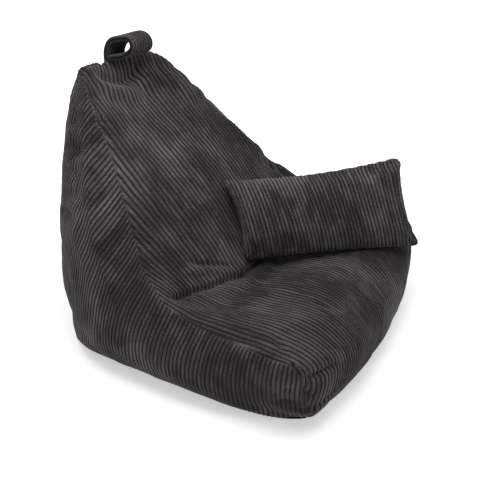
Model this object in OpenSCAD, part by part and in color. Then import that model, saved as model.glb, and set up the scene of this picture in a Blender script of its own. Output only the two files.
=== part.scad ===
// Lounge bean bag chair with a loose cushion and a carry handle.
// Z points up and the sitter faces -Y. The origin is on the floor, midway between the front and
// rear faces of the bag. All lengths are in millimetres.

/* [Bag] */
// Width of the bag across the seat seams
bag_width = 970; // [800:5:1100]
// Depth of the bag from its front face to its rear face
bag_depth = 1040; // [900:5:1200]
// Height of the sewn top edge
bag_height = 840; // [700:5:1000]
// Width of the sewn top edge
top_width = 374; // [260:2:480]
// Height of the seams beside the seat
seat_height = 280; // [220:5:360]
// Distance from the front face back to the crease of the seat
seat_depth = 480; // [420:5:560]
// How far each side bulges out past the seams beside the seat
side_bulge = 28; // [0:1:45]
// How far the floor outline bows out between its front and rear corners
base_bow = 56; // [20:1:90]

/* [Cloth] */
// Thickness of the corduroy outer panels
cover_cloth = 2.5; // [1.5:0.1:4]
// Thickness of the two-layer base panel
base_cloth = 4.6; // [4.6:0.1:6]
// Thickness of the inner liner
liner_cloth = 1; // [0.5:0.1:2]

/* [Handle] */
// Width of the handle strap along the top edge
handle_width = 106; // [80:1:150]
// Thickness of the folded handle strap
handle_cloth = 13; // [5:1:14]
// Reach of the handle loop, forward from its sewn root
handle_reach = 124; // [90:1:150]
// Height of the handle loop above its sewn root
handle_rise = 86; // [60:1:110]
// Radius of the rolled bead at the root of the handle
handle_bead_r = 4; // [3:0.5:6]

/* [Cushion] */
// Length of the loose cushion
cushion_length = 596; // [500:2:660]
// Height of the loose cushion
cushion_height = 284; // [240:2:320]
// Thickness of the loose cushion in its middle
cushion_thick = 124; // [90:2:150]
// How far the long edges of the cushion bow in
cushion_bow = 10; // [0:1:16]
// How far the top edge lies back along the length of the cushion
cushion_skew = 62; // [0:2:90]
// Lean of the cushion away from the sitter, in degrees
cushion_lean = 21; // [10:1:35]
// Direction of the bottom edge of the cushion, in degrees from the depth axis
cushion_turn = 37; // [20:1:45]
// Twist of the top edge against the bottom edge, in degrees
cushion_twist = 9; // [0:1:14]

/* [Zips] */
// Length of the zip in the base of the bag
base_zip_length = 480; // [300:10:560]
// Length of the zip in the bottom edge of the cushion
cushion_zip_length = 300; // [200:10:360]
// Width of one zip tape
tape_width = 13; // [10:0.5:16]
// Thickness of a zip tape
tape_thick = 0.6; // [0.4:0.1:0.8]
// Width of one row of zip teeth
teeth_width = 1.7; // [1.4:0.1:2.2]
// Height of the zip teeth
teeth_height = 1.8; // [1.4:0.1:1.8]
// Length of a zip slider
slider_length = 10; // [8:0.5:14]
// Thickness of each plate of a zip slider
slider_plate = 0.7; // [0.5:0.1:0.8]
// How far a slider stands past the teeth on each side
slider_cheek = 1.5; // [1:0.1:2]
// Width of the web that joins the two plates of a slider
slider_web = 0.8; // [0.8:0.1:1.2]
// Length of the stop at each end of a zip
stop_length = 4; // [3:0.5:6]
// How deep the zip of the cushion lies inside its bottom edge
zip_recess = 8; // [6:0.5:12]

/* [Fit] */
// Clearance between pieces that move past each other
running_gap = 0.35; // [0.3:0.05:0.4]

/* [Hidden] */

CORD = [0.27, 0.25, 0.25];
LINING = [0.75, 0.74, 0.72];
ZIP = [0.12, 0.12, 0.12];

// ---- Shape of the bag -------------------------------------------------------------------------
// The stations run round the side profile, from the front floor seam over the seat, the crease,
// the backrest and the top edge, and down to the rear floor seam. Each holds how far along, up and
// out its seam point lies, then how far along and up the middle of the panel lies.
// Along: 0 is the front face, 1 the crease, 2 the rear face. Up: 0 is the floor, 1 the seat
// seams, 2 the top edge. Out: 1 is half the top width, 2 half the bag width.
STATIONS = [
    [0.18, 0.00, 1.64, 0.06, 0.00],
    [0.12, 0.36, 1.84, -0.02, 0.32],
    [0.15, 0.92, 2.02, 0.01, 0.70],
    [0.39, 1.00, 2.02, 0.26, 0.90],
    [0.69, 1.01, 1.98, 0.60, 0.85],
    [0.92, 1.05, 1.98, 0.84, 0.77],
    [1.03, 1.12, 1.97, 0.95, 0.83],
    [1.17, 1.22, 1.85, 1.07, 1.10],
    [1.37, 1.42, 1.56, 1.25, 1.34],
    [1.56, 1.66, 1.30, 1.52, 1.60],
    [1.74, 1.90, 1.12, 1.80, 1.84],
    [1.85, 2.00, 1.00, 1.90, 2.00],
    [1.93, 1.92, 0.99, 1.96, 1.90],
    [1.97, 1.65, 1.15, 2.00, 1.67],
    [1.96, 1.25, 1.40, 2.00, 1.27],
    [1.93, 0.65, 1.54, 1.97, 0.65],
    [1.84, 0.00, 1.62, 1.88, 0.00]
];
TOP_STATION = 11;
SPAN_STEPS = 3;
COLUMNS = 8;
RINGS = 5;
BASE_STEPS = 10;
// How fast the middle of the panel turns up towards its seams
PANEL_CROWN = 2.4;
// The point where each side panel stands out furthest
SIDE_POLE = [1.20, 0.64];
SIDE_ROUND = 2;
FOOT_ROUND = 3;
RING_GATHER = 1.25;

front_y = -bag_depth / 2;
crease_y = front_y + seat_depth;

function mix(a, b, f) = a + (b - a) * f;
function unit(v) = v / norm(v);
function along(f) = f < 1 ? mix(front_y, crease_y, f) : mix(crease_y, bag_depth / 2, f - 1);
function up(f) = f < 1 ? mix(base_cloth, seat_height, f) : mix(seat_height, bag_height, f - 1);
function out(f) = f < 1 ? f * top_width / 2 : mix(top_width / 2, bag_width / 2, f - 1);
function placed(s) = [along(s[0]), up(s[1]), out(s[2]), along(s[3]), up(s[4])];

// Smooth curve through four neighbouring points, at share f between b and c
function curve(a, b, c, d, f) =
    0.5 * (2 * b + (c - a) * f + (2 * a - 5 * b + 4 * c - d) * f * f
        + (3 * b - a - 3 * c + d) * f * f * f);
function smooth(p, steps) =
    let (last = len(p) - 1)
    [for (k = [0 : last * steps])
        let (i = min(floor(k / steps), last - 1), f = k / steps - i,
             before = i > 0 ? p[i - 1] : 2 * p[0] - p[1],
             after = i + 2 <= last ? p[i + 2] : 2 * p[last] - p[last - 1])
        curve(before, p[i], p[i + 1], after, f)];

ROWS = smooth([for (s = STATIONS) placed(s)], SPAN_STEPS);
LAST_ROW = len(ROWS) - 1;
TOP_ROW = TOP_STATION * SPAN_STEPS;

// Middle panels: rows run along the profile and columns from seam to seam
function crown(t) = pow(abs(t), PANEL_CROWN);
function strip_point(r, t) =
    [r[2] * t, mix(r[3], r[0], crown(t)), max(base_cloth, mix(r[4], r[1], crown(t)))];
STRIP = [for (r = ROWS) [for (j = [0 : COLUMNS]) strip_point(r, 2 * j / COLUMNS - 1)]];

// Floor outline of a side, from the rear floor seam forward to the front floor seam
function base_out(f) =
    mix(ROWS[LAST_ROW][2], ROWS[0][2], f) + base_bow * (1 - pow(2 * f - 1, 6));
BASE_EDGE = [for (k = [1 : BASE_STEPS - 1])
    let (f = k / BASE_STEPS)
    [base_out(f), mix(ROWS[LAST_ROW][0], ROWS[0][0], f), base_cloth]];
SIDE_LOOP = concat([for (r = ROWS) [r[2], r[0], max(base_cloth, r[1])]], BASE_EDGE);
LOOP = len(SIDE_LOOP);
foot_blend = 0.095 * bag_height;
pole = [bag_width / 2 + side_bulge, along(SIDE_POLE[0]), up(SIDE_POLE[1])];

// Side panels: rings run from the seam loop in to the pole
function ring_share(k) = pow(k / RINGS, RING_GATHER);
function roundness(z) = mix(SIDE_ROUND, FOOT_ROUND, exp(-(z - base_cloth) / foot_blend));
function side_point(p, r) =
    [mix(p[0], pole[0], 1 - pow(1 - r, roundness(p[2]))), mix(p[1], pole[1], r),
        mix(p[2], pole[2], r)];
SIDE = [for (p = SIDE_LOOP) [for (k = [0 : RINGS]) side_point(p, ring_share(k))]];

// Directions from the outer surface into the bag, so that each layer lies a depth below it
function flat(v) = unit([v[0], v[1], 0]);
function strip_slope(i, j) =
    unit(cross(STRIP[i][min(j + 1, COLUMNS)] - STRIP[i][max(j - 1, 0)],
        STRIP[max(i - 1, 0)][j] - STRIP[min(i + 1, LAST_ROW)][j]));
function side_slope(i, k) =
    unit(cross(SIDE[(i + 1) % LOOP][k] - SIDE[(i + LOOP - 1) % LOOP][k],
        SIDE[i][min(k + 1, RINGS)] - SIDE[i][max(k - 1, 0)]));
function mirrored(v) = [-v[0], v[1], v[2]];
function seam_into(i) =
    let (n = unit(strip_slope(i, COLUMNS) + side_slope(i, 0)))
    i == 0 || i == LAST_ROW ? flat(n) : n;
function strip_into(i, j) =
    j == COLUMNS ? seam_into(i)
    : j == 0 ? mirrored(seam_into(i))
    : i == 0 || i == LAST_ROW ? flat(strip_slope(i, j))
    : strip_slope(i, j);
function side_into(i, k) =
    k == RINGS ? [-1, 0, 0]
    : k > 0 ? side_slope(i, k)
    : i > LAST_ROW ? flat(side_slope(i, 0))
    : seam_into(i);
STRIP_INTO = [for (i = [0 : LAST_ROW]) [for (j = [0 : COLUMNS]) strip_into(i, j)]];
SIDE_INTO = [for (i = [0 : LOOP - 1]) [for (k = [0 : RINGS]) side_into(i, k)]];

// A layer's point at a depth below the outer surface, never lower than the layer's own floor
function settle(p, floor_z) = [p[0], p[1], max(p[2], floor_z)];
function strip_at(i, j, depth, floor_z) =
    settle(STRIP[i][j] + STRIP_INTO[i][j] * depth, floor_z);
function side_at(i, k, depth, floor_z) =
    settle(SIDE[i][k] + SIDE_INTO[i][k] * depth, floor_z);

// ---- Sheets -----------------------------------------------------------------------------------
// Two triangles on four points, always cut along the same diagonal
function quad(a, b, c, d) = [[a, c, b], [a, d, c]];
function flat_list(lists) = [for (l = lists) each l];
function flipped(faces) = [for (f = faces) [f[2], f[1], f[0]]];

// Cloth between an upper and a lower grid of points of the same size
module sheet(upper, lower) {
    rows = len(upper);
    cols = len(upper[0]);
    size = rows * cols;
    top = flat_list([for (i = [0 : rows - 2]) for (j = [0 : cols - 2])
        let (a = i * cols + j) quad(a, a + 1, a + cols + 1, a + cols)]);
    under = [for (f = flipped(top)) [f[0] + size, f[1] + size, f[2] + size]];
    rim = flat_list(concat(
        [for (i = [0 : rows - 2]) let (a = i * cols) quad(a, a + cols, a + cols + size, a + size)],
        [for (i = [0 : rows - 2]) let (a = i * cols + cols - 1)
            flipped(quad(a, a + cols, a + cols + size, a + size))],
        [for (j = [0 : cols - 2]) flipped(quad(j, j + 1, j + 1 + size, j + size))],
        [for (j = [0 : cols - 2]) let (a = (rows - 1) * cols + j)
            quad(a, a + 1, a + 1 + size, a + size)]));
    polyhedron(concat(flat_list(upper), flat_list(lower)), concat(top, under, rim));
}

// Solid pillow between two grids that meet in the same border
module pillow(upper, lower) {
    rows = len(upper);
    cols = len(upper[0]);
    function under(i, j) =
        i * cols + j + (i == 0 || j == 0 || i == rows - 1 || j == cols - 1 ? 0 : rows * cols);
    top = flat_list([for (i = [0 : rows - 2]) for (j = [0 : cols - 2])
        let (a = i * cols + j) quad(a, a + 1, a + cols + 1, a + cols)]);
    back = flat_list([for (i = [0 : rows - 2]) for (j = [0 : cols - 2])
        quad(under(i, j), under(i + 1, j), under(i + 1, j + 1), under(i, j + 1))]);
    polyhedron(concat(flat_list(upper), flat_list(lower)), concat(top, back));
}

// Triangles of one side, ring by ring and then round its pole
function side_faces(offset) = concat(
    flat_list([for (i = [0 : LOOP - 1]) for (k = [0 : RINGS - 2])
        let (a = offset + i * (RINGS + 1) + k,
             b = offset + ((i + 1) % LOOP) * (RINGS + 1) + k)
        quad(a, a + 1, b + 1, b)]),
    [for (i = [0 : LOOP - 1])
        let (a = offset + i * (RINGS + 1) + RINGS - 1,
             b = offset + ((i + 1) % LOOP) * (RINGS + 1) + RINGS - 1)
        [a, b, offset + RINGS]]);

module middle_layer(first, last, near, far, floor_z) {
    sheet([for (i = [first : last]) [for (j = [0 : COLUMNS]) strip_at(i, j, near, floor_z)]],
        [for (i = [first : last]) [for (j = [0 : COLUMNS]) strip_at(i, j, far, floor_z)]]);
}

module side_layer(near, far, floor_z) {
    size = LOOP * (RINGS + 1);
    points = concat(
        [for (i = [0 : LOOP - 1]) for (k = [0 : RINGS]) side_at(i, k, near, floor_z)],
        [for (i = [0 : LOOP - 1]) for (k = [0 : RINGS]) side_at(i, k, far, floor_z)]);
    rim = flat_list([for (i = [0 : LOOP - 1])
        let (a = i * (RINGS + 1), b = ((i + 1) % LOOP) * (RINGS + 1))
        quad(a, b, b + size, a + size)]);
    polyhedron(points, concat(side_faces(0), flipped(side_faces(size)), rim));
}

function floor_outline(depth) = concat(
    [for (j = [0 : COLUMNS]) strip_at(0, j, depth, 0)],
    [for (i = [LOOP - 1 : -1 : LAST_ROW + 1]) side_at(i, 0, depth, 0)],
    [for (j = [COLUMNS : -1 : 0]) strip_at(LAST_ROW, j, depth, 0)],
    [for (i = [LAST_ROW + 1 : LOOP - 1]) mirrored(side_at(i, 0, depth, 0))]);
module floor_sheet(depth, thick) {
    linear_extrude(thick) polygon([for (p = floor_outline(depth)) [p[0], p[1]]]);
}

// ---- Zips -------------------------------------------------------------------------------------
// A zip lies along X with its tapes in the XY plane and its outer face towards -Z
zip_part = 2 * running_gap + slider_web;
teeth_edge = zip_part / 2 + teeth_width;
tape_edge = teeth_edge + tape_width;
slider_half = teeth_height / 2 + running_gap + slider_plate;
slider_width = 2 * (teeth_edge + slider_cheek);

module zip_tapes(length) {
    for (side = [-1, 1])
        translate([-length / 2, side * (teeth_edge + tape_width / 2) - tape_width / 2,
            -tape_thick / 2])
            cube([length, tape_width, tape_thick]);
}
module zip_teeth(length) {
    run = length - 2 * stop_length;
    for (side = [-1, 1])
        translate([-run / 2, side * (zip_part + teeth_width) / 2 - teeth_width / 2,
            -teeth_height / 2])
            cube([run, teeth_width, teeth_height]);
}
module zip_stops(length) {
    for (end = [-1, 1])
        translate([end * (length - stop_length) / 2, 0, 0])
            cube([stop_length, 2 * teeth_edge, teeth_height], center = true);
}
module zip_slider() {
    plate_z = teeth_height / 2 + running_gap + slider_plate / 2;
    for (face = [-1, 1])
        translate([0, 0, face * plate_z])
            cube([slider_length, slider_width, slider_plate], center = true);
    cube([slider_length, slider_web, 2 * plate_z], center = true);
}
// Where a slider stands when its zip is closed
function slider_start(length) = length / 2 - stop_length - slider_length / 2 - running_gap;

// ---- Bag --------------------------------------------------------------------------------------
liner_depth = cover_cloth + liner_cloth;
liner_floor = base_cloth + liner_cloth;
base_zip_y = mix(along(STATIONS[0][3]), along(STATIONS[16][3]), 0.86);

module seat_back_panel() { color(CORD) middle_layer(0, TOP_ROW, 0, cover_cloth, base_cloth); }
module rear_panel() { color(CORD) middle_layer(TOP_ROW, LAST_ROW, 0, cover_cloth, base_cloth); }
module side_panel_left() { color(CORD) side_layer(0, cover_cloth, base_cloth); }
module side_panel_right() { color(CORD) mirror([1, 0, 0]) side_layer(0, cover_cloth, base_cloth); }
module liner_front() { color(LINING) middle_layer(0, TOP_ROW, cover_cloth, liner_depth, liner_floor); }
module liner_rear() {
    color(LINING) middle_layer(TOP_ROW, LAST_ROW, cover_cloth, liner_depth, liner_floor);
}
module liner_side_left() { color(LINING) side_layer(cover_cloth, liner_depth, liner_floor); }
module liner_side_right() {
    color(LINING) mirror([1, 0, 0]) side_layer(cover_cloth, liner_depth, liner_floor);
}
module liner_base() {
    color(LINING) translate([0, 0, base_cloth]) floor_sheet(cover_cloth, liner_cloth);
}

module bead_fill() {
    cols = COLUMNS + 1;
    strip_size = (LAST_ROW + 1) * cols;
    side_size = LOOP * (RINGS + 1);
    left = [for (i = [0 : LOOP - 1]) for (k = [0 : RINGS]) side_at(i, k, liner_depth, liner_floor)];
    points = concat(
        [for (i = [0 : LAST_ROW]) for (j = [0 : COLUMNS])
            strip_at(i, j, liner_depth, liner_floor)],
        left, [for (p = left) mirrored(p)]);
    middle = flat_list([for (i = [0 : LAST_ROW - 1]) for (j = [0 : COLUMNS - 1])
        let (a = i * cols + j) quad(a, a + 1, a + cols + 1, a + cols)]);
    bottom = concat(
        [for (j = [0 : COLUMNS]) j],
        [for (i = [LOOP - 1 : -1 : LAST_ROW + 1]) strip_size + i * (RINGS + 1)],
        [for (j = [COLUMNS : -1 : 0]) LAST_ROW * cols + j],
        [for (i = [LAST_ROW + 1 : LOOP - 1]) strip_size + side_size + i * (RINGS + 1)]);
    color([0.95, 0.95, 0.93])
        polyhedron(points, concat(middle, side_faces(strip_size),
            flipped(side_faces(strip_size + side_size)), [bottom]));
}

module base_zip_place() { translate([0, base_zip_y, base_cloth / 2]) children(); }
module base_panel() {
    color(CORD) difference() {
        floor_sheet(0, base_cloth);
        translate([0, base_zip_y, 0])
            linear_extrude(3 * base_cloth, center = true)
            square([base_zip_length, 2 * tape_edge], center = true);
    }
}
module base_zip_tapes() { color(ZIP) base_zip_place() zip_tapes(base_zip_length); }
module base_zip_teeth() { color(ZIP) base_zip_place() zip_teeth(base_zip_length); }
module base_zip_stops() { color(ZIP) base_zip_place() zip_stops(base_zip_length); }
module base_zip_slider() {
    color(ZIP) base_zip_place() translate([-slider_start(base_zip_length), 0, 0]) zip_slider();
}

// ---- Handle -----------------------------------------------------------------------------------
// Outer face of the flopped loop, as shares of its reach forward and its rise above the root
LOOP_SHAPE = [
    [0.00, 0.00], [-0.05, 0.22], [0.02, 0.52], [0.16, 0.76], [0.36, 0.92], [0.60, 1.00],
    [0.80, 0.99], [0.94, 0.88], [1.00, 0.66], [0.94, 0.42], [0.76, 0.26], [0.40, 0.10]
];
top_z = max([for (r = ROWS) r[4]]);
handle_root = [0, along(STATIONS[TOP_STATION][3]), top_z + handle_bead_r + running_gap];
function loop_after(i) = LOOP_SHAPE[(i + len(LOOP_SHAPE)) % len(LOOP_SHAPE)];
HANDLE_OUTLINE = [for (i = [0 : len(LOOP_SHAPE) - 1]) for (f = [0 : 0.34 : 0.9])
    let (p = curve(loop_after(i - 1), loop_after(i), loop_after(i + 1), loop_after(i + 2), f))
    [-p[0] * handle_reach, p[1] * handle_rise]];

module handle_loop() {
    color(CORD) translate(handle_root) {
        rotate([90, 0, 90])
            linear_extrude(handle_width, center = true)
            difference() {
                polygon(HANDLE_OUTLINE);
                offset(delta = -handle_cloth) polygon(HANDLE_OUTLINE);
            }
        rotate([0, 90, 0])
            cylinder(r = handle_bead_r, h = handle_width, center = true, $fn = 24);
    }
}

// ---- Cushion ----------------------------------------------------------------------------------
// The foot is the middle of the cushion's bottom edge, set on the seat beside the crease
CUSHION_COLUMNS = 16;
CUSHION_ROWS = 10;
FOOT_OUT = 0.28;
FOOT_ALONG = 0.48;
FOOT_LIFT = 0.092;
cushion_pitch = 1;
TOP_TILT = 0.9;
cushion_edge = cover_cloth;
// Height of the seat at a point between the front of the seat and the crease
function seat_at(x, y) = lookup(y, [for (i = [3 * SPAN_STEPS : 6 * SPAN_STEPS])
    let (p = strip_point(ROWS[i], x / ROWS[i][2])) [p[1], p[2]]]);
foot_x = FOOT_OUT * bag_width / 2;
foot_y = along(FOOT_ALONG);
cushion_foot = [foot_x, foot_y, seat_at(foot_x, foot_y) + FOOT_LIFT * cushion_thick];
function heading(turn, pitch) =
    [sin(turn) * cos(pitch), -cos(turn) * cos(pitch), sin(pitch)];
cushion_x = heading(cushion_turn, cushion_pitch);
level_back = unit(cross([0, 0, 1], cushion_x));
cushion_y = unit(cross(cushion_x, level_back) * cos(cushion_lean)
    + level_back * sin(cushion_lean));
cushion_z = cross(cushion_x, cushion_y);

// Points of the cushion: s runs along its length from -1 to 1 and t up its height from 0 to 1
function edge_in(a) = cushion_bow * (1 - a * a);
function cushion_mid(s, t) =
    let (x = mix(cushion_x, heading(cushion_turn - cushion_twist,
            cushion_pitch + TOP_TILT * cushion_twist), t * t),
         rise = mix(edge_in(s), cushion_height - edge_in(s), t),
         run = s * (cushion_length / 2 - edge_in(2 * t - 1)) - cushion_skew * t)
    cushion_foot + x * run + cushion_y * rise;
function bulge(a) = pow(1 - pow(abs(a), 2.4), 0.6);
function cushion_half(s, t) =
    cushion_edge + (cushion_thick / 2 - cushion_edge) * bulge(s) * bulge(2 * t - 1);
function cushion_facing(s, t) =
    unit(cross(cushion_mid(s + 0.05, t) - cushion_mid(s - 0.05, t),
        cushion_mid(s, t + 0.05) - cushion_mid(s, t - 0.05)));
// Grid lines crowd towards the edges, where the cushion curves most
function crowded(f) = sin(180 * f - 90);
CUSHION_GRID = [for (i = [0 : CUSHION_ROWS]) [for (j = [0 : CUSHION_COLUMNS])
    let (s = crowded(j / CUSHION_COLUMNS), t = (1 + crowded(i / CUSHION_ROWS)) / 2)
    [cushion_mid(s, t), cushion_facing(s, t), cushion_half(s, t)]]];
function cushion_skin(face, inset) =
    [for (row = CUSHION_GRID) [for (p = row) p[0] + p[1] * face * (p[2] - inset)]];

cushion_zip_in = cushion_bow + zip_recess;
module on_cushion() {
    multmatrix([
        [cushion_x[0], cushion_z[0], cushion_y[0], cushion_foot[0]],
        [cushion_x[1], cushion_z[1], cushion_y[1], cushion_foot[1]],
        [cushion_x[2], cushion_z[2], cushion_y[2], cushion_foot[2]]
    ]) children();
}
module cushion_zip_place() {
    on_cushion() translate([0, 0, cushion_zip_in - tape_thick / 2]) mirror([0, 1, 0]) children();
}
// Room in the bottom edge of the cushion for its zip and the slider's run
module cushion_zip_room() {
    on_cushion() {
        translate([-cushion_zip_length / 2, -cushion_thick / 2, -cushion_thick])
            cube([cushion_zip_length, cushion_thick, cushion_thick + cushion_zip_in]);
        translate([-cushion_zip_length / 2, -slider_width / 2 - slider_plate, 0])
            cube([cushion_zip_length, slider_width + 2 * slider_plate,
                cushion_zip_in - tape_thick / 2 + slider_half + running_gap]);
    }
}
module cushion_front_panel() {
    color(CORD) difference() {
        sheet(cushion_skin(1, 0), cushion_skin(1, cover_cloth));
        cushion_zip_room();
    }
}
module cushion_back_panel() {
    color(CORD) difference() {
        sheet(cushion_skin(-1, cover_cloth), cushion_skin(-1, 0));
        cushion_zip_room();
    }
}
module cushion_pad() {
    color(LINING) difference() {
        pillow(cushion_skin(1, cover_cloth), cushion_skin(-1, cover_cloth));
        cushion_zip_room();
    }
}
module cushion_zip_tapes() { color(ZIP) cushion_zip_place() zip_tapes(cushion_zip_length); }
module cushion_zip_teeth() { color(ZIP) cushion_zip_place() zip_teeth(cushion_zip_length); }
module cushion_zip_stops() { color(ZIP) cushion_zip_place() zip_stops(cushion_zip_length); }
module cushion_zip_slider() {
    color(ZIP) cushion_zip_place()
        translate([-slider_start(cushion_zip_length), 0, 0]) zip_slider();
}

seat_back_panel();
rear_panel();
side_panel_right();
side_panel_left();
base_panel();
liner_front();
liner_rear();
liner_side_right();
liner_side_left();
liner_base();
bead_fill();
base_zip_tapes();
base_zip_teeth();
base_zip_stops();
base_zip_slider();
handle_loop();
cushion_front_panel();
cushion_back_panel();
cushion_pad();
cushion_zip_tapes();
cushion_zip_teeth();
cushion_zip_stops();
cushion_zip_slider();
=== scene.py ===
# %% [markdown]
# # A lounge bean bag chair in wide-wale corduroy
#
# The chair is a cloth shell full of loose beads. A long middle strip runs from the floor over the
# seat and up the backrest, a rear strip closes the back, and one big panel closes each side.
# A strap handle is sewn into the top edge, and a loose cushion leans on the seat.
#
# Corduroy decides how the chair looks: thick ribs, called wales, 12 to 14 mm apart. They catch
# light like a row of small rolls, so they are modelled as real relief.

import math

import bpy
import numpy as np
from mathutils import Matrix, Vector
from mathutils.kdtree import KDTree


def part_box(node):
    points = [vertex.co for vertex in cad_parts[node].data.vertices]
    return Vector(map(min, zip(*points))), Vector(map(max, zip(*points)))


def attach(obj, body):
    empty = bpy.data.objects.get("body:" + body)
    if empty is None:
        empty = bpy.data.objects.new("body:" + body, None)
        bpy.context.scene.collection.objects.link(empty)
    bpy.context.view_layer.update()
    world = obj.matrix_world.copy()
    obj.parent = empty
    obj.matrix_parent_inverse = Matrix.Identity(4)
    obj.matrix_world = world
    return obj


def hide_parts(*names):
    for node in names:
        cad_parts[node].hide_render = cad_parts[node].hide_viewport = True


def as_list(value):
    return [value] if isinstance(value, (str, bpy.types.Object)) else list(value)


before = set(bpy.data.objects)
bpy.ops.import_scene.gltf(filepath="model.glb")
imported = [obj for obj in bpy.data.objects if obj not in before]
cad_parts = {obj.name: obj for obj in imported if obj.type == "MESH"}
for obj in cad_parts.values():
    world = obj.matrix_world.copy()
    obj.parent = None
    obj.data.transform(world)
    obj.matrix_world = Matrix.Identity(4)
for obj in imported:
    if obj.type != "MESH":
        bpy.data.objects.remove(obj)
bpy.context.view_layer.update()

# %% [markdown]
# ## Camera, floor and light
#
# The camera stands at eye height on the sitter's right, 29 degrees above the seat. The floor is a
# wide plane that the camera sees as white far off, with a painted grey shadow round the chair
# over the soft shadow that the lamps cast on it.

# %% Camera
scene = bpy.context.scene
scene.view_settings.view_transform = "Standard"


def add_camera(place, azimuth, elevation, lens):
    data = bpy.data.cameras.new("camera")
    data.lens = lens
    data.sensor_width = 36.0
    camera = bpy.data.objects.new("camera", data)
    camera.location = place
    camera.rotation_euler = (math.radians(90 - elevation), 0.0, math.radians(azimuth))
    scene.collection.objects.link(camera)
    return camera


scene.camera = add_camera((-1.587, -0.923, 1.25), -61.0, 28.5, 44.06)
print("camera at", tuple(round(v, 3) for v in scene.camera.location))


# %% [markdown]
# ### Shader maths as plain Python
#
# A material is a graph of nodes. To keep the graphs readable, `Wire` wraps an output socket, and
# the usual operators add Math nodes. `Shader.node` adds any other node: its settings go in first
# and then the values or links of its inputs.

# %% A small language for shader graphs
class Wire:
    def __init__(self, shader, socket):
        self.shader = shader
        self.socket = socket

    def maths(self, operation, *others):
        values = {i: other for i, other in enumerate((self,) + others)}
        return self.shader.node("ShaderNodeMath", {"operation": operation}, values)

    def __add__(self, other):
        return self.maths("ADD", other)

    def __sub__(self, other):
        return self.maths("SUBTRACT", other)

    def __rsub__(self, other):
        return (self * -1.0) + other

    def __mul__(self, other):
        return self.maths("MULTIPLY", other)

    def __pow__(self, other):
        return self.maths("POWER", other)

    def fract(self):
        return self.maths("FRACT")

    def absolute(self):
        return self.maths("ABSOLUTE")

    def clamp(self):
        return self.maths("MAXIMUM", 0.0).maths("MINIMUM", 1.0)


class Shader:
    def __init__(self, owner):
        owner.use_nodes = True
        self.owner = owner
        self.tree = owner.node_tree
        self.tree.nodes.clear()

    def node(self, kind, settings=None, inputs=None, output=0):
        made = self.tree.nodes.new(kind)
        for key, value in (settings or {}).items():
            if key == "ramp":
                ramp = made.color_ramp
                for stop, (place, colour) in enumerate(value):
                    if stop < len(ramp.elements):
                        element = ramp.elements[stop]
                        element.position = place
                    else:
                        element = ramp.elements.new(place)
                    element.color = colour
            else:
                setattr(made, key, value)
        for key, value in (inputs or {}).items():
            if isinstance(value, Wire):
                self.tree.links.new(value.socket, made.inputs[key])
            else:
                made.inputs[key].default_value = value
        return Wire(self, made.outputs[output]) if len(made.outputs) else None

    def split(self, vector, axis):
        return self.node("ShaderNodeSeparateXYZ", None, {0: vector}, output=axis)

    def mix_colour(self, share, first, second, blend="MIX"):
        settings = {"data_type": "RGBA", "blend_type": blend}
        return self.node("ShaderNodeMix", settings, {0: share, 6: first, 7: second}, output=2)

    def place(self):
        """Object coordinates."""
        return self.node("ShaderNodeTexCoord", output=3)

    def noise(self, vector, scale=1.0, detail=2.0, **more):
        inputs = {"Vector": vector, "Scale": scale, "Detail": detail}
        return self.node("ShaderNodeTexNoise", None, {**inputs, **more})

    def seen_directly(self):
        """One for rays from the camera, off a gloss or through glass, and nothing for the rest."""
        camera, gloss, through = (self.node("ShaderNodeLightPath", output=i) for i in (0, 3, 6))
        return (camera + gloss + through).clamp()

    def principled(self, colour, height, strength, distance, **more):
        """The usual surface, with fine bumps of a given strength and distance."""
        bump = self.node("ShaderNodeBump", None, {
            "Strength": strength, "Distance": distance, "Height": height})
        inputs = {"Base Color": colour, "Normal": bump}
        inputs.update((key.replace("_", " "), value) for key, value in more.items())
        return self.finish(self.node("ShaderNodeBsdfPrincipled", None, inputs))

    def finish(self, surface, kind="Material"):
        self.node("ShaderNodeOutput" + kind, None, {0: surface})
        return self.owner


def new_material(name):
    return Shader(bpy.data.materials.new(name))


def grey(value, alpha=1.0):
    return (value, value, value, alpha)


# %% White floor with a painted shadow round the chair
painted_shadow_reach = 0.82


def floor_material():
    shader = new_material("studio_floor")
    diffuse = shader.node("ShaderNodeBsdfDiffuse", None, {"Color": grey(0.80)})
    none = shader.node("ShaderNodeEmission", None, {"Color": grey(0.0), "Strength": 0.0})
    place = shader.place()
    away = shader.node("ShaderNodeVectorMath", {"operation": "LENGTH"}, {0: place}, output=1)
    # Painted shadow: the camera sees the floor grey near the chair and nearly white beyond the
    # reach.
    beyond = ((away - painted_shadow_reach) * 2.4).clamp()
    white = shader.node("ShaderNodeEmission", None, {
        "Color": shader.mix_colour(beyond, grey(0.48), grey(0.95)), "Strength": 1.0})
    glow = shader.node("ShaderNodeMixShader", None, {
        0: shader.seen_directly(), 1: none, 2: white})
    return shader.finish(shader.node("ShaderNodeAddShader", None, {0: diffuse, 1: glow}))


def add_floor(size):
    mesh = bpy.data.meshes.new("floor")
    h = size / 2
    mesh.from_pydata([(-h, -h, 0), (h, -h, 0), (h, h, 0), (-h, h, 0)], [], [(0, 1, 2, 3)])
    floor = bpy.data.objects.new("floor", mesh)
    scene.collection.objects.link(floor)
    mesh.materials.append(floor_material())
    return floor


add_floor(24.0)


# %% World and softboxes
def set_world(ambient):
    world = bpy.data.worlds.new("studio")
    scene.world = world
    shader = Shader(world)
    soft, white = (
        shader.node("ShaderNodeBackground", None, {"Color": grey(1.0), "Strength": power})
        for power in (ambient, 1.0))
    shader.finish(shader.node("ShaderNodeMixShader", None, {
        0: shader.seen_directly(), 1: soft, 2: white}), "World")


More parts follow.
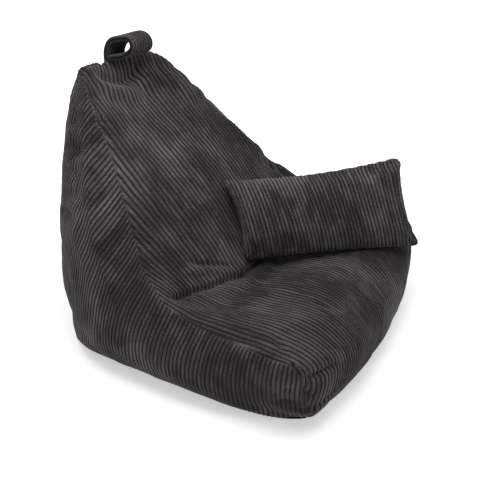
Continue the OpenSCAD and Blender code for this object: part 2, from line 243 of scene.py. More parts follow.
def add_lamp(name, kind, place, reach, **settings):
    """A lamp that shines along reach."""
    data = bpy.data.lights.new(name, kind)
    for key, value in settings.items():
        setattr(data, key, value)
    lamp = bpy.data.objects.new(name, data)
    lamp.location = place
    flat = math.hypot(reach[0], reach[1])
    lamp.rotation_euler = (math.atan2(flat, -reach[2]), 0.0, math.atan2(-reach[0], reach[1]))
    scene.collection.objects.link(lamp)


def add_softbox(name, place, aim, size, power):
    reach = np.array(aim, float) - np.array(place, float)
    add_lamp(name, "AREA", place, reach, shape="DISK", size=size, energy=power)


set_world(0.38)
add_lamp("overhead", "SUN", (0, 0, 0), (0.08, 0.02, -1.0), energy=1.00, angle=math.radians(52.0))
add_softbox("key", (-0.60, -0.50, 1.80), (0.05, 0.3, 0.6), 0.7, 9.0)
add_softbox("left", (-0.80, 0.20, 1.60), (-0.05, 0.4, 0.78), 0.5, 3.6)


# %% [markdown]
# ## The form of the bag
#
# The form comes from a few stations round the side profile. Each one says where the side seam
# runs and where the middle of the cloth lies. A smooth curve joins them, and the same numbers
# shape the solid model, so the cloth fits it.

# %% Sizes, in metres
bag_width = 0.970
bag_depth = 1.040
bag_height = 0.840
top_width = 0.374
seat_height = 0.280
seat_depth = 0.480
side_bulge = 0.028
base_bow = 0.056
base_cloth = 0.0046
front_y = -bag_depth / 2
crease_y = front_y + seat_depth

stations = np.array([
    (0.18, 0.00, 1.64, 0.06, 0.00),
    (0.12, 0.36, 1.84, -0.02, 0.32),
    (0.15, 0.92, 2.02, 0.01, 0.70),
    (0.39, 1.00, 2.02, 0.26, 0.90),
    (0.69, 1.01, 1.98, 0.60, 0.85),
    (0.92, 1.05, 1.98, 0.84, 0.77),
    (1.03, 1.12, 1.97, 0.95, 0.83),
    (1.17, 1.22, 1.85, 1.07, 1.10),
    (1.37, 1.42, 1.56, 1.25, 1.34),
    (1.56, 1.66, 1.30, 1.52, 1.60),
    (1.74, 1.90, 1.12, 1.80, 1.84),
    (1.85, 2.00, 1.00, 1.90, 2.00),
    (1.93, 1.92, 0.99, 1.96, 1.90),
    (1.97, 1.65, 1.15, 2.00, 1.67),
    (1.96, 1.25, 1.40, 2.00, 1.27),
    (1.93, 0.65, 1.54, 1.97, 0.65),
    (1.84, 0.00, 1.62, 1.88, 0.00),
])
TOP = 11.0
END = 16.0


# %% Curves through the stations
def mix(a, b, f):
    return a + (b - a) * f


def along(f):
    return np.where(f < 1, mix(front_y, crease_y, f), mix(crease_y, bag_depth / 2, f - 1))


def up(f):
    return np.where(f < 1, mix(base_cloth, seat_height, f), mix(seat_height, bag_height, f - 1))


def out(f):
    return np.where(f < 1, f * top_width / 2, mix(top_width / 2, bag_width / 2, f - 1))


def smooth(points, at):
    """Catmull-Rom curve through points, at places counted from 0."""
    last = len(points) - 1
    ends = (2 * points[0] - points[1], 2 * points[last] - points[last - 1])
    row = np.vstack([ends[0], points, ends[1]])
    i = np.clip(np.floor(at).astype(int), 0, last - 1)
    f = (at - i)[:, None]
    a, b, c, d = row[i], row[i + 1], row[i + 2], row[i + 3]
    bend = 2 * a - 5 * b + 4 * c - d
    return 0.5 * (2 * b + (c - a) * f + bend * f ** 2 + (3 * b - a - 3 * c + d) * f ** 3)


placed = np.column_stack([
    along(stations[:, 0]), up(stations[:, 1]), out(stations[:, 2]),
    along(stations[:, 3]), up(stations[:, 4]),
])


def strip_point(p, t):
    """A point of the middle strips: p runs round the profile, t from seam (-1) to seam (1)."""
    p, t = np.broadcast_arrays(np.asarray(p, float), np.asarray(t, float))
    row = smooth(placed, p.ravel())
    t = t.ravel()
    crown = np.abs(t) ** 2.4
    x = row[:, 2] * t
    y = mix(row[:, 3], row[:, 0], crown)
    z = np.maximum(base_cloth, mix(row[:, 4], row[:, 1], crown))
    return np.column_stack([x, y, z])


# %% [markdown]
# ### The side panels
#
# A side panel is a shallow dome over its seam loop. It is read as a height: for each place seen
# from the side, how far out the cloth stands. Rays from the widest point to the loop give that.

# %% Side dome as a height over the side view
pole = np.array([bag_width / 2 + side_bulge, float(along(1.20)), float(up(0.64))])


def floor_edge(f):
    """Floor outline of a side, from the rear seam (0) to the front seam (1)."""
    first, last = smooth(placed, np.array([END])), smooth(placed, np.array([0.0]))
    x = mix(first[0, 2], last[0, 2], f) + base_bow * (1 - (2 * f - 1) ** 6)
    y = mix(first[0, 0], last[0, 0], f)
    return np.column_stack([x, y, np.full(len(f), base_cloth)])


def side_loop(q):
    """The seam loop of a side: 0 to 16 round the profile, 16 to 17 back along the floor."""
    row = smooth(placed, np.clip(q, 0, END))
    seam = np.column_stack([row[:, 2], row[:, 0], np.maximum(base_cloth, row[:, 1])])
    low = floor_edge(np.clip(q - END, 0, 1))
    return np.where((q > END)[:, None], low, seam)


loop_q = np.concatenate([np.linspace(0, END, 641), np.linspace(END, END + 1, 81)[1:]])
loop = side_loop(loop_q)
loop_angle = np.unwrap(np.arctan2(loop[:, 2] - pole[2], loop[:, 1] - pole[1]))
loop_reach = np.hypot(loop[:, 1] - pole[1], loop[:, 2] - pole[2])


def side_polar(y, z):
    """Loop place and share of the way in to the pole, for places in the side view."""
    angle = np.arctan2(z - pole[2], y - pole[1])
    top = loop_angle[0]
    angle = np.where(angle > top, angle - 2 * np.pi, angle)
    angle = np.where(angle < loop_angle[-1], angle + 2 * np.pi, angle)
    q = np.interp(-angle, -loop_angle, loop_q)
    reach = np.interp(-angle, -loop_angle, loop_reach)
    return q, 1 - np.hypot(y - pole[1], z - pole[2]) / reach


def side_x(y, z):
    q, r = side_polar(y, z)
    edge = side_loop(q)
    power = mix(2.0, 3.0, np.exp(-(edge[:, 2] - base_cloth) / (0.095 * bag_height)))
    return mix(edge[:, 0], pole[0], 1 - np.abs(1 - r) ** power)


print("side loop:", len(loop), "points, widest at", np.round(pole, 3))
print("loop angles fall steadily:", bool((np.diff(loop_angle) < 0).all()))


# %% [markdown]
# ### Folds and dents
#
# A stuffed bag is never quite even. Each fold is a short line on the surface with a depth, a
# width and a soft profile, and it moves the cloth along its own outward direction.

# %% Folds as lines with a soft reach
def reach_to_line(points, line):
    """Distance of points to a line of corners, and the share of the line's length reached."""
    line = np.asarray(line, float)
    pieces = np.diff(line, axis=0)
    lengths = np.linalg.norm(pieces, axis=1)
    before = np.concatenate([[0.0], np.cumsum(lengths)])
    best = np.full(len(points), 1e9)
    share = np.zeros(len(points))
    for start, piece, length, base in zip(line, pieces, lengths, before):
        f = np.clip((points - start) @ piece / length ** 2, 0, 1)
        away = np.linalg.norm(points - start - f[:, None] * piece, axis=1)
        nearer = away < best
        best = np.where(nearer, away, best)
        share = np.where(nearer, (base + f * length) / before[-1], share)
    return best, share


folds = []


def run_along(line):
    """Length run at each point of a line."""
    return np.concatenate([[0.0], np.cumsum(np.linalg.norm(np.diff(line, axis=0), axis=1))])


def tree_of(points):
    tree = KDTree(len(points))
    for number, point in enumerate(points):
        tree.insert(point, number)
    tree.balance()
    return tree


def add_fold(line, height, width, ends=0.25):
    folds.append((np.asarray(line, float), height, width, ends))


def fold_height(points, wider=0.0):
    x, y, z = np.asarray(points).T
    total = 0.0022 * np.sin(23 * x + 11 * z + 0.7) * np.sin(19 * y - 13 * z + 9 * x)
    total += 0.0016 * np.sin(47 * y + 21 * x + 1.9) * np.sin(41 * z - 17 * x + 0.4)
    for line, height, width, ends in folds:
        away, share = reach_to_line(points, line)
        taper = np.clip(np.minimum(share, 1 - share) / ends, 0, 1)
        taper = taper * taper * (3 - 2 * taper)
        total += height * taper * np.exp(-(away / (width + wider)) ** 2)
    return total


# %% Normals of the two kinds of panel
def strip_normal(p, t):
    step = 0.01
    p = np.clip(p, 0, END)
    low, high = np.clip(p - step, 0, END), np.clip(p + step, 0, END)
    down_t, up_t = np.clip(t - step, -1, 1), np.clip(t + step, -1, 1)
    over = strip_point(high, t) - strip_point(low, t)
    across = strip_point(p, up_t) - strip_point(p, down_t)
    n = np.cross(across, over)
    return n / np.linalg.norm(n, axis=1)[:, None]


def side_normal(y, z):
    step = 0.002
    dy = (side_x(y + step, z) - side_x(y - step, z)) / (2 * step)
    dz = (side_x(y, z + step) - side_x(y, z - step)) / (2 * step)
    n = np.column_stack([np.ones_like(dy), -dy, -dz])
    return n / np.linalg.norm(n, axis=1)[:, None]


def unit(v):
    return v / np.maximum(np.linalg.norm(v, axis=1), 1e-9)[:, None]


def side_seam_directions(q):
    """Shared outward direction on a side seam, halfway between the two panels that meet."""
    seam = side_loop(q)
    inner = mix(seam, pole, 0.01)
    side = side_normal(inner[:, 1], inner[:, 2])
    strip = strip_normal(np.clip(q, 0, END), np.ones(len(q)))
    return np.where((q > END)[:, None], side, unit(side + strip))


def all_seams():
    """Points on every seam of the bag, with the outward direction at each."""
    q = np.concatenate([np.linspace(0, END, 3601), np.linspace(END, END + 1, 901)[1:-1]])
    left, left_out = side_loop(q), side_seam_directions(q)
    t = np.linspace(-1, 1, 601)[1:-1]
    rows = [(strip_point(p, t), strip_normal(np.full(len(t), p), t)) for p in (0.0, TOP, END)]
    flip = np.array([-1.0, 1.0, 1.0])
    points = np.vstack([left, left * flip] + [row[0] for row in rows])
    outward = np.vstack([left_out, left_out * flip] + [row[1] for row in rows])
    return points, outward


seam_points, seam_outward = all_seams()
seam_tree = tree_of(seam_points)
print("seam points:", len(seam_points))

# %% [markdown]
# ## Corduroy as geometry
#
# Each panel becomes a grid whose columns follow the wales, eight columns to a wale. A column that
# meets a seam stops there, as the cut cloth does. Two values travel with the grid: `across`, the
# distance over the wales, and `raise`, which fades the relief out at the seams. A Geometry Nodes
# tree then lifts the ribs from these values, so pitch and height stay easy to change.

# %% Sizes of the wales
strip_pitch = 0.0140
side_pitch = 0.0125
small_pitch = 0.0138
pillow_pitch = 0.0123
wale_height = 0.0042
rib_steps = np.array([0.0, 0.07, 0.16, 0.31, 0.50, 0.69, 0.84, 0.93])


def column_places(low, high, pitch):
    """Places of grid columns across the wales, closer together beside each groove."""
    first, last = math.floor(low / pitch), math.ceil(high / pitch)
    return (np.arange(first, last)[:, None] + rib_steps[None, :]).ravel() * pitch


# %% A small helper to build Geometry Nodes trees
class NodeTree:
    """Builds a Geometry Nodes tree with named inputs, ending in one mesh with one material."""

    def __init__(self, name, inputs):
        self.tree = bpy.data.node_groups.new(name, "GeometryNodeTree")
        sockets = [("Geometry", "INPUT", "Geometry")]
        sockets += [(label, "INPUT", kind) for label, kind in inputs.items()]
        sockets += [("Material", "INPUT", "Material"), ("Geometry", "OUTPUT", "Geometry")]
        for label, way, kind in sockets:
            self.tree.interface.new_socket(label, in_out=way, socket_type="NodeSocket" + kind)
        self.given = self.tree.nodes.new("NodeGroupInput").outputs

    def add(self, kind, settings=None, inputs=None, output=0):
        made = self.tree.nodes.new(kind)
        for key, value in (settings or {}).items():
            setattr(made, key, value)
        for key, value in (inputs or {}).items():
            if isinstance(value, bpy.types.NodeSocket):
                self.tree.links.new(value, made.inputs[key])
            else:
                made.inputs[key].default_value = value
        return made.outputs[output] if len(made.outputs) else None

    def maths(self, operation, first, second=0.0):
        return self.add("ShaderNodeMath", {"operation": operation}, {0: first, 1: second})

    def named(self, name):
        return self.add("GeometryNodeInputNamedAttribute", {"data_type": "FLOAT"}, {"Name": name})

    def finish(self, geometry):
        real = self.add("GeometryNodeRealizeInstances", None, {0: geometry})
        paint = self.add("GeometryNodeSetMaterial", None, {
            "Geometry": real, "Material": self.given["Material"]})
        self.add("NodeGroupOutput", None, {0: paint})
        return self.tree


# %% Ribs as a Geometry Nodes tree
def rib_tree():
    build = NodeTree("corduroy_ribs", {"Wale Pitch": "Float", "Wale Height": "Float"})
    count = build.maths("DIVIDE", build.named("across"), build.given["Wale Pitch"])
    phase = build.maths("FRACT", count)
    centred = build.maths("ABSOLUTE", build.maths("MULTIPLY_ADD", phase, 2.0))
    centred.node.inputs[0].links[0].from_node.inputs[2].default_value = -1.0
    flank = build.maths("SUBTRACT", 1.0, build.maths("POWER", centred, 3.2))
    lift = build.maths("SUBTRACT", build.maths("POWER", flank, 0.72), 0.45)
    height = build.maths("MULTIPLY", lift, build.given["Wale Height"])
    height = build.maths("MULTIPLY", height, build.named("raise"))
    normal = build.add("GeometryNodeInputNormal")
    offset = build.add("ShaderNodeVectorMath", {"operation": "SCALE"}, {0: normal, "Scale": height})
    moved = build.add("GeometryNodeSetPosition", None, {
        "Geometry": build.given["Geometry"], "Offset": offset})
    return build.finish(moved)


ribs = rib_tree()


# %% From a modified object to a plain mesh
def bake(obj, name):
    """Turns the evaluated object into a plain mesh object of that name."""
    graph = bpy.context.evaluated_depsgraph_get()
    graph.update()
    mesh = bpy.data.meshes.new_from_object(obj.evaluated_get(graph))
    bpy.data.objects.remove(obj)
    mesh.name = name
    made = bpy.data.objects.new(name, mesh)
    scene.collection.objects.link(made)
    print(f"{name}: {len(mesh.vertices)} points, {len(mesh.polygons)} faces")
    return made


def grow(obj, tree, name, values):
    """Runs a Geometry Nodes tree on an object, with its inputs set by socket identifier."""
    modifier = obj.modifiers.new("tree", "NODES")
    modifier.node_group = tree
    for item in tree.interface.items_tree:
        if item.item_type == "SOCKET" and item.in_out == "INPUT" and item.name in values:
            modifier[item.identifier] = values[item.name]
    return bake(obj, name)


def plain_object(name, points, faces):
    mesh = bpy.data.meshes.new(name)
    mesh.from_pydata(np.asarray(points).tolist(), [], faces)
    mesh.polygons.foreach_set("use_smooth", np.ones(len(mesh.polygons), bool))
    obj = bpy.data.objects.new(name, mesh)
    scene.collection.objects.link(obj)
    return obj


def add_cloth_map(mesh, first, second):
    """A UV map that holds the cloth's own two directions."""
    corners = np.zeros(len(mesh.loops), int)
    mesh.loops.foreach_get("vertex_index", corners)
    uv = mesh.uv_layers.new(name="cloth")
    uv.data.foreach_set("uv", np.column_stack([first, second])[corners].ravel())


def corduroy(name, points, faces, across, lengthwise, lift, material, pitch, height=wale_height):
    """A corduroy panel: a grid along the wales, with its ribs lifted by Geometry Nodes."""
    obj = plain_object(name, points, faces)
    mesh = obj.data
    mesh.attributes.new("across", "FLOAT", "POINT").data.foreach_set("value", across)
    mesh.attributes.new("raise", "FLOAT", "POINT").data.foreach_set("value", lift)
    add_cloth_map(mesh, across / pitch, lengthwise)
    return grow(obj, ribs, name, {
        "Wale Pitch": pitch, "Wale Height": height, "Material": material})


def turned_outward(points, faces):
    """Faces of a closed shape, turned so that its volume counts positive."""
    volume = 0.0
    points = np.asarray(points)
    for face in faces:
        corners = points[list(face)]
        for k in range(1, len(face) - 1):
            volume += np.dot(corners[0], np.cross(corners[k], corners[k + 1]))
    return faces if volume > 0 else [face[::-1] for face in faces]


def flat_grid(across, rows):
    """Every pair of two rows of values, as two flat arrays."""
    return [values.ravel() for values in np.meshgrid(across, rows)]


def eased(count):
    """Values from -1 to 1, closer together at the ends."""
    return np.sin(np.linspace(-math.pi / 2, math.pi / 2, count))


def numbered(x, y, z):
    """Points of a grid, and their numbers in the grid's form."""
    points = np.column_stack([x.ravel(), y.ravel(), z.ravel()])
    return points, np.arange(x.size).reshape(x.shape)


def border_of(faces):
    """Edges that only one face has, in that face's direction."""
    edges = set()
    for face in faces:
        edges.update(zip(face, face[1:] + face[:1]))
    return sorted(edge for edge in edges if (edge[1], edge[0]) not in edges)


def shell_of(points, faces):
    """Closed thin shape from two copies of a surface, with a wall round the edge."""
    size = len(points) // 2
    other = [tuple(corner + size for corner in face[::-1]) for face in faces]
    wall = [(b, a, a + size, b + size) for a, b in border_of(faces)]
    return turned_outward(points, faces + other + wall)


# %% [markdown]
# ### The look of the pile
#
# Corduroy pile stands up along each wale. Its colour has painted shade in the grooves and painted
# highlights on the crests, in patches along the wales that stand partly for pile brushed different
# ways, and the sheen makes it glow softly at a grazing angle. Copies of the pile are painted
# lighter or darker overall, and one has painted pools of light. The colour follows the wales
# through the cloth's own UV map, which counts wales one way and metres the other.

# %% Corduroy material
def corduroy_material(name, shade=1.0, painted_light_spots=()):
    """Ribbed pile, painted lighter or darker overall by shade. Each painted light spot has a place,
    a reach and how much painted highlight it adds.
    """
    shader = new_material(name)
    cloth = shader.node("ShaderNodeUVMap", {"uv_map": "cloth"})
    place = shader.place()
    u, v = shader.split(cloth, 0), shader.split(cloth, 1)
    centred = (u.fract() * 2.0 - 1.0).absolute()
    crest = 1.0 - centred ** 2.2

    def along_wales(across, lengthwise):
        return shader.node("ShaderNodeCombineXYZ", None, {0: u * across, 1: v * lengthwise})

    patches = shader.noise(place, 5.5, 2.5, Roughness=0.55)
    turned = ((shader.noise(place, 7.0, 1.0, Distortion=0.6) - 0.53) * 16.0).clamp()
    brushed = shader.noise(along_wales(0.90, 12.0), detail=3.0)
    tufts = shader.noise(along_wales(2.6, 190.0))
    fibres = shader.noise(along_wales(9.0, 520.0), detail=3.0)
    # Painted shade: the grooves are near black against the crests' mid tone, beyond the shade the
    # relief casts; the fine fibre streaks take the same dark colour.
    groove = (0.0014, 0.0011, 0.0012, 1)
    mid = tuple(shade * value for value in (0.0270, 0.0225, 0.0233)) + (1,)
    pale = tuple(shade * value for value in (0.195, 0.176, 0.179)) + (1,)
    depth = shader.mix_colour(crest, groove, mid)
    # Painted highlight: broad patches, streaks along the wales, tufts and crisp turned patches lift
    # the crests towards the pale colour, partly for pile brushed different ways and partly as
    # painted sheen.
    painted_highlight_share = patches * 0.40 + brushed * 0.30 + tufts * 0.30 - 0.45
    painted_highlight_share = painted_highlight_share * 4.2 + turned * 0.26
    # Painted pools of light: each spot adds pale highlight near its place.
    for spot, reach, strength in painted_light_spots:
        away = shader.node("ShaderNodeVectorMath", {"operation": "DISTANCE"},
                           {0: place, 1: spot}, output=1)
        painted_highlight_share = painted_highlight_share + (1.0 - away * (1 / reach)).clamp() * strength
    painted_highlight_share = painted_highlight_share.clamp() * crest ** 1.8
    tone = shader.mix_colour(painted_highlight_share * 0.8, depth, pale)
    colour = shader.mix_colour(((fibres - 0.40) * 0.9).clamp(), tone, groove)
    return shader.principled(
        colour, fibres, 0.55, 0.0012, Roughness=0.90, Specular_IOR_Level=0.15,
        Sheen_Weight=0.22, Sheen_Roughness=0.40, Sheen_Tint=(0.92, 0.86, 0.85, 1))


# Copies of one pile, painted to different brightness, stand in for the light on different parts.
pile = corduroy_material("corduroy_charcoal", 0.95)
# Seat strip copy: painted a little darker, with painted pools of light below the handle, on the
# backrest and at the crease.
pile_painted_spots = corduroy_material("corduroy_painted_darker_with_light_spots", 0.92, [
    ((-0.02, 0.43, 0.79), 0.16, 0.70), ((-0.04, 0.35, 0.69), 0.15, 0.25),
    ((-0.22, -0.05, 0.26), 0.16, 0.30)])
# Cushion copy: the same pile painted lighter than the bag, as if more light fell on it.
pile_painted_lighter = corduroy_material("corduroy_painted_lighter", 1.30)


# %% Plain weave, beads and zip finishes
def weave_material(name, dark, pale, threads):
    """Plain weave: two sets of threads over Object coordinates, crossing at right angles."""
    shader = new_material(name)
    place = shader.place()
    waves = []
    for turn in ((0.0, 0.0, 0.0), (0.0, 0.0, math.pi / 2)):
        turned = shader.node("ShaderNodeMapping", None, {0: place, 2: turn})
        waves.append(shader.node("ShaderNodeTexWave", None, {
            0: turned, "Scale": threads, "Distortion": 0.6, "Detail": 2.0}, output=1))
    weave = waves[0] * waves[1]
    soil = shader.noise(place, 14.0, 4.0)
    tone = shader.mix_colour((weave * 0.6 + soil * 0.5).clamp(), dark, pale)
    return shader.principled(tone, weave, 0.4, 0.0006, Roughness=0.8, Sheen_Weight=0.1)


def bead_material(name):
    shader = new_material(name)
    place = shader.place()
    cells = shader.node("ShaderNodeTexVoronoi", None, {"Vector": place, "Scale": 190.0})
    # Painted shade: each bead turns grey towards the edge of its cell, where it meets its
    # neighbours.
    tone = shader.mix_colour(
        (cells * 1.6).clamp(), (0.93, 0.93, 0.91, 1), (0.62, 0.62, 0.60, 1))
    return shader.principled(tone, 1.0 - cells, 1.0, 0.003, Roughness=0.55)


def hard_material(name, colour, worn, metallic, roughness):
    shader = new_material(name)
    place = shader.place()
    rub, broad = shader.noise(place, 420.0, 5.0), shader.noise(place, 60.0)
    wear = ((rub * 0.6 + broad * 0.6 - 0.62) * 5.0).clamp()
    return shader.principled(
        shader.mix_colour(wear, colour, worn), rub, 0.15, 0.0003,
        Metallic=metallic, Roughness=rub * 0.25 + (roughness - 0.12))


lining = weave_material("liner_weave", (0.52, 0.51, 0.49, 1), (0.80, 0.79, 0.77, 1), 420.0)
beads = bead_material("white_beads")
tape_cloth = weave_material(
    "zip_tape_weave", (0.012, 0.011, 0.011, 1), (0.05, 0.047, 0.047, 1), 700.0)
nylon = hard_material("zip_nylon", (0.03, 0.028, 0.028, 1), (0.07, 0.067, 0.067, 1), 0.0, 0.42)
metal = hard_material("zip_metal", (0.05, 0.05, 0.052, 1), (0.22, 0.22, 0.23, 1), 0.85, 0.38)
thread = weave_material(
    "sewing_thread", (0.014, 0.012, 0.012, 1), (0.05, 0.045, 0.045, 1), 1500.0)

# %% [markdown]
# ## Folds of the bag
#
# The loose beads leave the cloth uneven. The top has sunk between the handle and a soft crest,
# the seat has a crease where it meets the backrest, the sides ripple near the back, and the front
# corners pucker. Each is one line with a height and a width. The corners and the side ripples
# are made on both sides, and the rest once.

# %% Folds on the seat, back and sides
crease = np.array([
    (-0.46, -0.041, 0.326), (-0.40, -0.043, 0.306), (-0.33, -0.045, 0.285),
    (-0.25, -0.053, 0.260), (-0.18, -0.061, 0.246), (-0.10, -0.073, 0.228),
    (0.02, -0.075, 0.225), (0.16, -0.062, 0.24), (0.30, -0.046, 0.28), (0.45, -0.04, 0.32)])
add_fold(crease, -0.022, 0.010, 0.06)
add_fold(crease[1:8] + (0.0, -0.036, -0.004), 0.013, 0.022, 0.12)
add_fold([(-0.31, 0.014, 0.357), (-0.23, -0.012, 0.316), (-0.17, -0.031, 0.287),
          (-0.09, -0.052, 0.252)], -0.009, 0.009)
add_fold([(-0.34, 0.0, 0.345), (-0.22, -0.033, 0.297), (-0.12, -0.058, 0.258)], 0.007, 0.014)
add_fold([(-0.14, 0.437, 0.815), (-0.08, 0.432, 0.790), (-0.01, 0.428, 0.777), (0.05, 0.435, 0.786),
          (0.085, 0.450, 0.822)], -0.021, 0.020)
add_fold([(-0.17, 0.425, 0.82), (-0.11, 0.41, 0.775), (-0.03, 0.395, 0.74), (0.05, 0.395, 0.735)],
         0.022, 0.030, 0.3)
add_fold([(0.04, 0.392, 0.735), (0.10, 0.405, 0.765), (0.16, 0.415, 0.785)], 0.013, 0.050, 0.3)
add_fold([(0.15, 0.410, 0.785), (0.20, 0.350, 0.730), (0.245, 0.290, 0.665)], 0.014, 0.042, 0.3)
add_fold([(0.385, 0.06, 0.445), (0.415, 0.0, 0.405), (0.44, -0.05, 0.37)], 0.024, 0.042, 0.3)
add_fold([(0.04, 0.455, 0.842), (0.11, 0.450, 0.840), (0.18, 0.44, 0.830)], 0.011, 0.030, 0.2)
add_fold([(-0.058, 0.461, 0.840), (0.058, 0.461, 0.840)], 0.0130, 0.009, 0.08)
add_fold([(-0.066, 0.482, 0.834), (0.066, 0.482, 0.834)], -0.0120, 0.016, 0.05)
add_fold([(-0.18, 0.450, 0.830), (-0.13, 0.460, 0.840), (-0.065, 0.46, 0.845)], 0.012, 0.026, 0.2)
for x in (-0.150, -0.122, -0.095, 0.088, 0.115, 0.142):
    add_fold([(x, 0.475, 0.840), (x, 0.440, 0.840)], -0.003, 0.006, 0.1)
add_fold([(0.30, 0.24, 0.62), (0.35, 0.16, 0.53), (0.39, 0.09, 0.45)], 0.020, 0.050)
add_fold([(0.33, 0.10, 0.44), (0.372, 0.085, 0.431), (0.41, 0.03, 0.375), (0.45, 0.0, 0.34)],
         -0.016, 0.013)
add_fold([(-0.16, -0.20, 0.25), (0.0, -0.33, 0.25), (0.1, -0.42, 0.24)], 0.010, 0.075)
for hand in (-1, 1):
    side = np.array([hand, 1.0, 1.0])
    add_fold(side * [(0.470, -0.430, 0.262), (0.480, -0.440, 0.262)], -0.020, 0.015, 0.02)
    add_fold(side * [(0.478, -0.445, 0.250), (0.455, -0.463, 0.222), (0.41, -0.478, 0.21),
                     (0.32, -0.50, 0.192)], -0.013, 0.008, 0.3)
    add_fold(side * [(0.478, -0.447, 0.21), (0.455, -0.468, 0.17), (0.43, -0.47, 0.14)],
             -0.009, 0.009, 0.3)
    add_fold(side * [(0.455, -0.400, 0.262), (0.40, -0.34, 0.270)], -0.006, 0.010)
    add_fold(side * [(0.463, -0.36, 0.105), (0.463, -0.40, 0.13), (0.46, -0.445, 0.14)],
             -0.006, 0.006, 0.4)
    add_fold(side * [(0.478, -0.44, 0.19), (0.474, -0.40, 0.185)], -0.006, 0.010)
    add_fold(side * [(0.405, -0.455, 0.045), (0.415, -0.465, 0.095)], 0.011, 0.060, 0.02)
    for step in range(6):
        z = 0.47 + 0.062 * step
        y = np.array([0.28, 0.34, 0.40, 0.46])
        z = z + 0.12 * (0.36 - y)
        add_fold(np.column_stack([hand * side_x(y, z), y, z]), -0.012 + 0.002 * (step % 3),
                 0.016, 0.35)
print("folds:", len(folds))

# %% [markdown]
# ### Wrinkles from a cloth simulation
#
# A coarse copy of the filled bag swells under pressure as cloth that is cut a little too large,
# so it buckles. Its broad swelling is taken away again, and the small wrinkles that remain move
# the cover, the liner and the filling alike. The cushion below swells in the same way.

# %% Swelling a closed skin
def read_points(mesh, key="co"):
    values = np.zeros(len(mesh.vertices) * 3)
    mesh.vertices.foreach_get(key, values)
    return values.reshape(-1, 3)


swell_frames = 20


def swell(obj, held, pressure, growth, cap, stiffness):
    """Runs a mesh as cloth under pressure, and returns how far each of its points moved."""
    start = read_points(obj.data)
    group = obj.vertex_groups.new(name="held")
    group.add(np.nonzero(held)[0].tolist(), 1.0, "REPLACE")
    modifier = obj.modifiers.new("swell", "CLOTH")
    settings = modifier.settings
    settings.quality = 4
    settings.use_pressure = True
    settings.uniform_pressure_force = pressure
    settings.vertex_group_mass = "held"
    settings.effector_weights.gravity = 0.0
    settings.shrink_min = -growth
    settings.tension_stiffness = stiffness
    settings.compression_stiffness = stiffness
    settings.shear_stiffness = stiffness / 3
    settings.bending_stiffness = 0.1
    modifier.collision_settings.use_collision = False
    modifier.point_cache.frame_start = 1
    modifier.point_cache.frame_end = swell_frames
    for number in range(1, swell_frames + 1):
        scene.frame_set(number)
    graph = bpy.context.evaluated_depsgraph_get()
    mesh = obj.evaluated_get(graph).to_mesh()
    moved = read_points(mesh) - start
    obj.evaluated_get(graph).to_mesh_clear()
    obj.modifiers.remove(modifier)
    scene.frame_set(1)
    size = np.linalg.norm(moved, axis=1)
    print(f"{obj.name} swells by {size.mean() * 1000:.1f} mm, at most {size.max() * 1000:.1f} mm")
    return moved * (np.minimum(size, cap) / np.maximum(size, 1e-9))[:, None]


def spread_over(mesh, values, rounds):
    """Values averaged again and again between neighbouring points."""
    edges = np.zeros(len(mesh.edges) * 2, int)
    mesh.edges.foreach_get("vertices", edges)
    a, b = edges.reshape(-1, 2).T
    count = np.bincount(np.concatenate([a, b]), minlength=len(values)) + 1.0
    for _ in range(rounds):
        from_b = np.bincount(a, values[b], len(values))
        from_a = np.bincount(b, values[a], len(values))
        values = (values + from_b + from_a) / count
    return values


# %% Wrinkles of the filled bag
def filled_bag(name, voxel):
    """The solid of the beads, remeshed evenly."""
    obj = bpy.data.objects.new(name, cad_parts["bead_fill"].data.copy())
    scene.collection.objects.link(obj)
    modifier = obj.modifiers.new("even", "REMESH")
    modifier.mode = "VOXEL"
    modifier.voxel_size = voxel
    return bake(obj, name)


wrinkle_size = 0.014
wrinkle_limit = 0.007


def bag_wrinkles(voxel):
    obj = filled_bag("swelling_bag", voxel)
    points, normals = read_points(obj.data), read_points(obj.data, "normal")
    obj.data.vertices.foreach_set("co", (points - normals * 0.004).ravel())
    moved = swell(obj, points[:, 2] < 0.03, 1.5, 0.020, 0.040, 40.0)
    height = (moved * normals).sum(axis=1)
    height = np.clip(height - spread_over(obj.data, height, 60), -wrinkle_limit, wrinkle_limit)
    height = spread_over(obj.data, height, 1) * np.clip((points[:, 2] - 0.03) / 0.06, 0, 1)
    above = np.clip(normals[:, 2] * 0.5 - normals[:, 1] * 0.5 + 0.2, 0, 1)
    height *= (1 - 0.5 * above) * np.where(points[:, 2] > 0.80, 0.3, 1.0)
    bpy.data.objects.remove(obj)
    print("wrinkles:", np.round(1000 * np.percentile(height, [1, 10, 50, 90, 99]), 1), "mm")
    return tree_of(points), height


wrinkle_tree, wrinkle_height = bag_wrinkles(wrinkle_size)


def wrinkled(points):
    """How far the wrinkles move the cloth at each point."""
    found = [wrinkle_tree.find_n(point, 7) for point in points]
    spots = np.array([[hit[1] for hit in row] for row in found])
    away = np.array([[hit[2] for hit in row] for row in found])
    share = np.exp(-(away / wrinkle_size) ** 2) + 1e-9
    return (wrinkle_height[spots] * share).sum(axis=1) / share.sum(axis=1)


# %% [markdown]
# ### Panels that follow the wales
#
# On the middle strips the wales run along the strip. The filling spreads them more on the
# sitter's right, and they draw together over the front. Each row is measured on the cloth from
# the middle out to the seam, and the columns that would lie past the seam end on it. The border
# of every panel is folded into the bag, as a real seam allowance is, so no seam gapes.


# %% Seams and folds move the cloth
def seam_pull(points, normals, ease=0.022, tuck=0.0042, slope=0.0060):
    """Distance to the nearest seam, outward direction of the cloth, and its pull-in."""
    found = [seam_tree.find(point) for point in points]
    spot = np.array([hit[1] for hit in found])
    away = np.array([hit[2] for hit in found])
    share = np.exp(-(away / ease) ** 2)[:, None]
    direction = unit(normals * (1 - share) + seam_outward[spot] * share)
    return away, direction, -tuck * np.exp(-away / slope)


